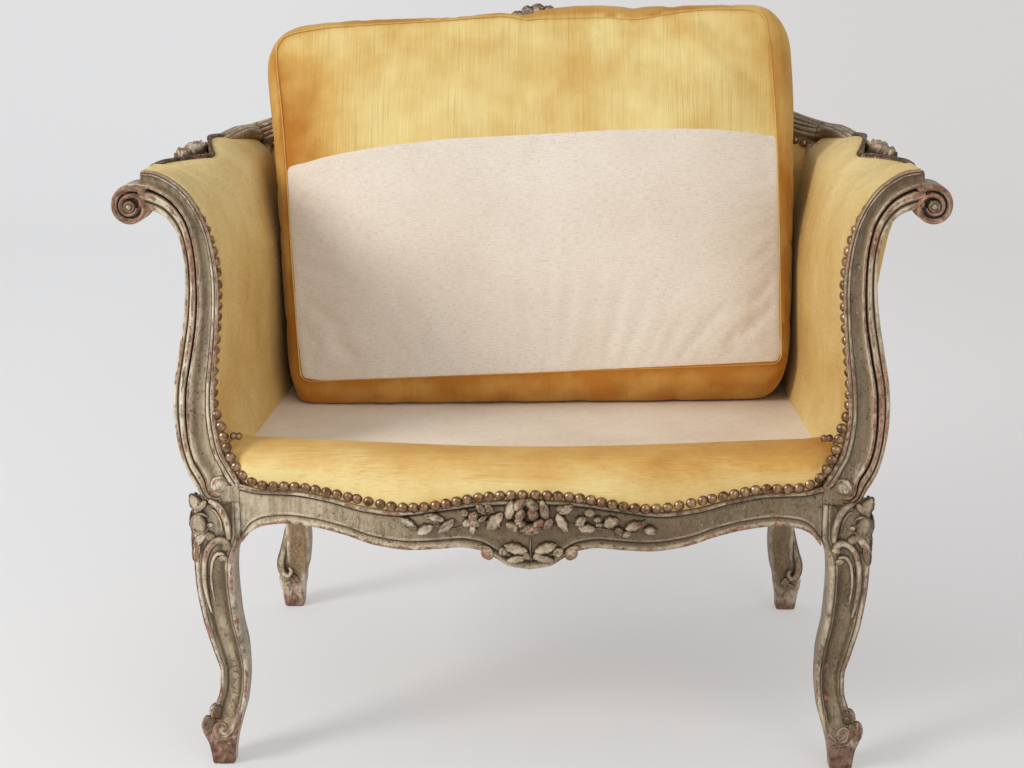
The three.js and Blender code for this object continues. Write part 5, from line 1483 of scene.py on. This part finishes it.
# Webbing and hessian under the seat
WEB_LEVEL = RAIL_TOP + 2.7
LONG_WEB_X = [132 * k for k in (-2, -1, 0, 1, 2)]
CROSS_WEB_Y = [96, 188, 280, 372]
WEB_WIDTH = 60
WEB_REACH = 356
HESSIAN_REACH = 346


def web_strip(first, last, crossings, over, place):
    """Woven strip that passes over and under the ones it crosses; place(run, aside, z) sets it down."""
    bends = [(first, 0.0)]
    for k, middle in enumerate(crossings):
        side = -1.0 if (k + over) % 2 else 1.0
        bends += [(middle - 32, side), (middle + 32, side)]
    bends.append((last, 0.0))

    def row(u):
        run = mix(first, last, u)
        z = WEB_LEVEL + 0.98 * read_table(bends, run)
        return [(place(run, WEB_WIDTH * (k / 12 - 0.5), z), 0.5) for k in range(13)]

    bm = skin(110, row, closed=False, size=(0.6, 0.06))
    bmesh.ops.solidify(bm, geom=bm.faces, thickness=0.0014)
    return bm


def hessian_row(u):
    """Line across the hessian that lies over the webbing, from the front rail at 0 to the back posts at 1."""
    y = mix(RAIL_BACK_Y - 12, REAR_POST_Y - 10, u)
    ring = []
    for k in range(61):
        z = WEB_LEVEL + 2.3 + 0.3 * noise.noise(Vector((k * 0.3, y * 0.02, 0)))
        ring.append((at(mix(-HESSIAN_REACH, HESSIAN_REACH, k / 60), y, z), 0.5))
    return ring


# Nails
NAIL_LINE = [
    (0, 352), (28, 351), (53, 348.5), (80, 343), (104, 337), (129, 333.2), (152, 333), (170, 335.5), (230, 346.5),
    (264, 352), (292, 352.5), (304, 352.5), (316, 355), (328, 361.5), (337, 369.5), (344, 381), (349, 394),
    (352.5, 408), (355, 421), (357.5, 434), (358.5, 450), (358, 474), (355.5, 500), (352, 530), (349.5, 560),
    (348.5, 590), (351, 620), (358, 647), (369, 671), (384, 690), (402, 704), (420, 711),
]


def nail_head(radius):
    """Domed nail head with a flat rim, facing up."""
    bm = bmesh.new()
    bmesh.ops.create_uvsphere(bm, u_segments=14, v_segments=10, radius=radius)
    cut = bmesh.ops.bisect_plane(bm, geom=bm.verts[:] + bm.edges[:] + bm.faces[:], plane_co=(0, 0, 0.0001),
                                 plane_no=(0, 0, 1), clear_inner=True)
    rim = [e for e in cut["geom_cut"] if isinstance(e, bmesh.types.BMEdge)]
    bmesh.ops.holes_fill(bm, edges=rim, sides=0)
    bmesh.ops.scale(bm, vec=(1, 1, 0.72), verts=bm.verts)
    mesh = bpy.data.meshes.new("nail_head")
    bm.to_mesh(mesh)
    bm.free()
    return mesh


def drive_nails(bm, head, spots):
    """Nail heads at (point, way they face) spots in metres."""
    for point, facing in spots:
        start = len(bm.verts)
        bm.from_mesh(head)
        bm.verts.ensure_lookup_table()
        sway = Vector((noise.noise(point * 90), noise.noise(point * 110 + Vector((3, 1, 2))), 0)) * 0.12
        turn = (facing.normalized() + sway * 0.6).to_track_quat("Z", "Y").to_matrix().to_4x4()
        bmesh.ops.transform(bm, matrix=Matrix.Translation(point) @ turn, verts=bm.verts[start:])


def along_line(line, pitch, first=0.0, last=1.0):
    """Places at an even pitch along a smooth line, each with the direction it runs in."""
    steps, spots, run, goal = 600, [], 0.0, pitch / 2
    before = line(first)
    for k in range(1, steps + 1):
        here = line(mix(first, last, k / steps))
        run += (here - before).length
        if run >= goal:
            spots.append((here, (here - before).normalized()))
            goal += pitch
        before = here
    return spots


def front_and_post_nails():
    """Nails along the front rail and up both posts, with two small ones in each corner."""
    head, small_head = nail_head(0.0063), nail_head(0.0045)
    line = smooth_line([(x, 0, z) for x, z in NAIL_LINE])
    bm = bmesh.new()
    for side in (-1, 1):
        spots = []
        for here, ahead in along_line(line, 12.75):
            x, z = here.x, here.z
            climb = ease(x, 312, 345)
            turned = ease(z, 415, 450)
            y = mix(rail_face_y(min(x, RAIL_HALF)) - 2.6, POST_FRONT_Y + mix(3.5, 11, turned), climb)
            inward = Vector((-ahead.z, 0, ahead.x))
            facing = Vector((0, -1, 0)) * mix(1, 0.1, turned) + inward * mix(0.1, 1.0, turned)
            x += 4.4 * turned - 0.9 * ease(z, 520, 640)
            spots.append((at(side * x, y, z), Vector((side * facing.x, facing.y, facing.z))))
        drive_nails(bm, head, spots)
        corner = [(side * x, y, z) for x, y, z in ((344.5, 2, 407), (338.5, 4, 406))]
        drive_nails(bm, small_head, [(at(*spot), Vector((-side * 0.6, -1, 0.2))) for spot in corner])
    return bm


def crest_nails():
    """Nails under the crest, along the top of the inside back."""
    head = nail_head(0.0058)
    bm = bmesh.new()
    spots = []
    for here, ahead in along_line(top_line, 12.9, 1 - TOP_JOINT - 0.018, TOP_JOINT + 0.018):
        aside = Vector((ahead.y, -ahead.x, 0)).normalized()
        if aside.y > 0:
            aside.negate()
        up = aside.cross(ahead)
        if up.z < 0:
            up.negate()
        spots.append((at(*(here + aside * 14 - up * 33.5)), aside))
    drive_nails(bm, head, spots)
    return bm


def arm_nails():
    """Small close nails where the inside arms meet their rails."""
    head = nail_head(0.0043)
    bm = bmesh.new()
    edge = smooth_line([(x, y, read_table(ARM_VELVET_TOP, y)) for y, x in ARM_VELVET_EDGE[1:-1]])
    for side in (-1, 1):
        spots = []
        for here, ahead in along_line(edge, 6.2):
            inward = Vector((-ahead.y, ahead.x, 0))
            spots.append((at(side * here.x, here.y, here.z + 0.5), Vector((side * inward.x, inward.y, 0.9))))
        drive_nails(bm, head, spots)
    return bm


# The chair
look_from((49, -2002, 964), -1.98, 13.84, -0.31)
studio()

wood = [paint, carved_paint]
both_sides("carved_arm_post", arm_post(), wood, "arm_post")
both_sides("carved_front_leg", front_leg(), wood, "front_leg")
both_sides("carved_rear_leg", rear_leg(), [rear_paint, carved_paint], "rear_leg_post")
finish_piece("carved_front_rail", front_rail(), wood, ["front_seat_rail"])
both_sides("moulded_side_rail", side_rail(), wood, "side_seat_rail")
both_sides("reeded_arm_rail", arm_rail(), wood, "arm_rail")
finish_piece("reeded_crest_rail", crest_rail(), wood, ["crest_rail"])
arms = both_sides("velvet_inside_arm", arm_velvet(), arm_gold, "arm_pad")
both_sides("velvet_outside_arm", outer_arm_velvet(), arm_gold, "arm_outer_panel")
back = finish_piece("velvet_inside_back", back_velvet(), arm_gold, ["back_pad"])
finish_piece("velvet_outside_back", outer_back_velvet(), arm_gold, ["back_outer_panel"])
roll = finish_piece("velvet_front_roll", front_roll(), roll_gold, ["front_edge_roll"])
platform = finish_piece("linen_platform", seat_linen(), deck_linen, ["seat_deck"])
case_mesh, panel_mesh = cushion()
case = finish_piece("velvet_cushion_case", case_mesh, gold, ["seat_cushion"], body="cushion", levels=1)
panel = finish_piece("linen_cushion_panel", panel_mesh, linen, body="cushion", levels=1)

for k, x in enumerate(LONG_WEB_X):
    strip_mesh = web_strip(12, REAR_POST_Y + 6, CROSS_WEB_Y, k % 2, lambda run, aside, z: at(x + aside, run, z))
    finish_piece(f"long_web_{k + 1}", strip_mesh, jute, [f"webbing_long_{k + 1}"])
for k, y in enumerate(CROSS_WEB_Y):
    strip_mesh = web_strip(-WEB_REACH, WEB_REACH, LONG_WEB_X, (k + 1) % 2, lambda run, aside, z: at(run, y + aside, z))
    finish_piece(f"cross_web_{k + 1}", strip_mesh, jute, [f"webbing_cross_{k + 1}"])
hessian = finish_piece("hessian_cover", skin(60, hessian_row, closed=False, size=(0.45, 0.69)), jute,
                       ["seat_hessian"])

corner_blocks = [f"{side}_{end}_corner_block" for side in ("left", "right") for end in ("front", "rear")]
for name in ["rear_seat_rail", "back_lower_rail", "left_arm_tacking_rail", "right_arm_tacking_rail"] + corner_blocks:
    for wooden in bpy.data.objects[name].material_slots:
        wooden.material = beech

finish_piece("front_and_post_nails", front_and_post_nails(), bronze)
finish_piece("crest_nails", crest_nails(), bronze)
finish_piece("arm_rail_nails", arm_nails(), dark_bronze)
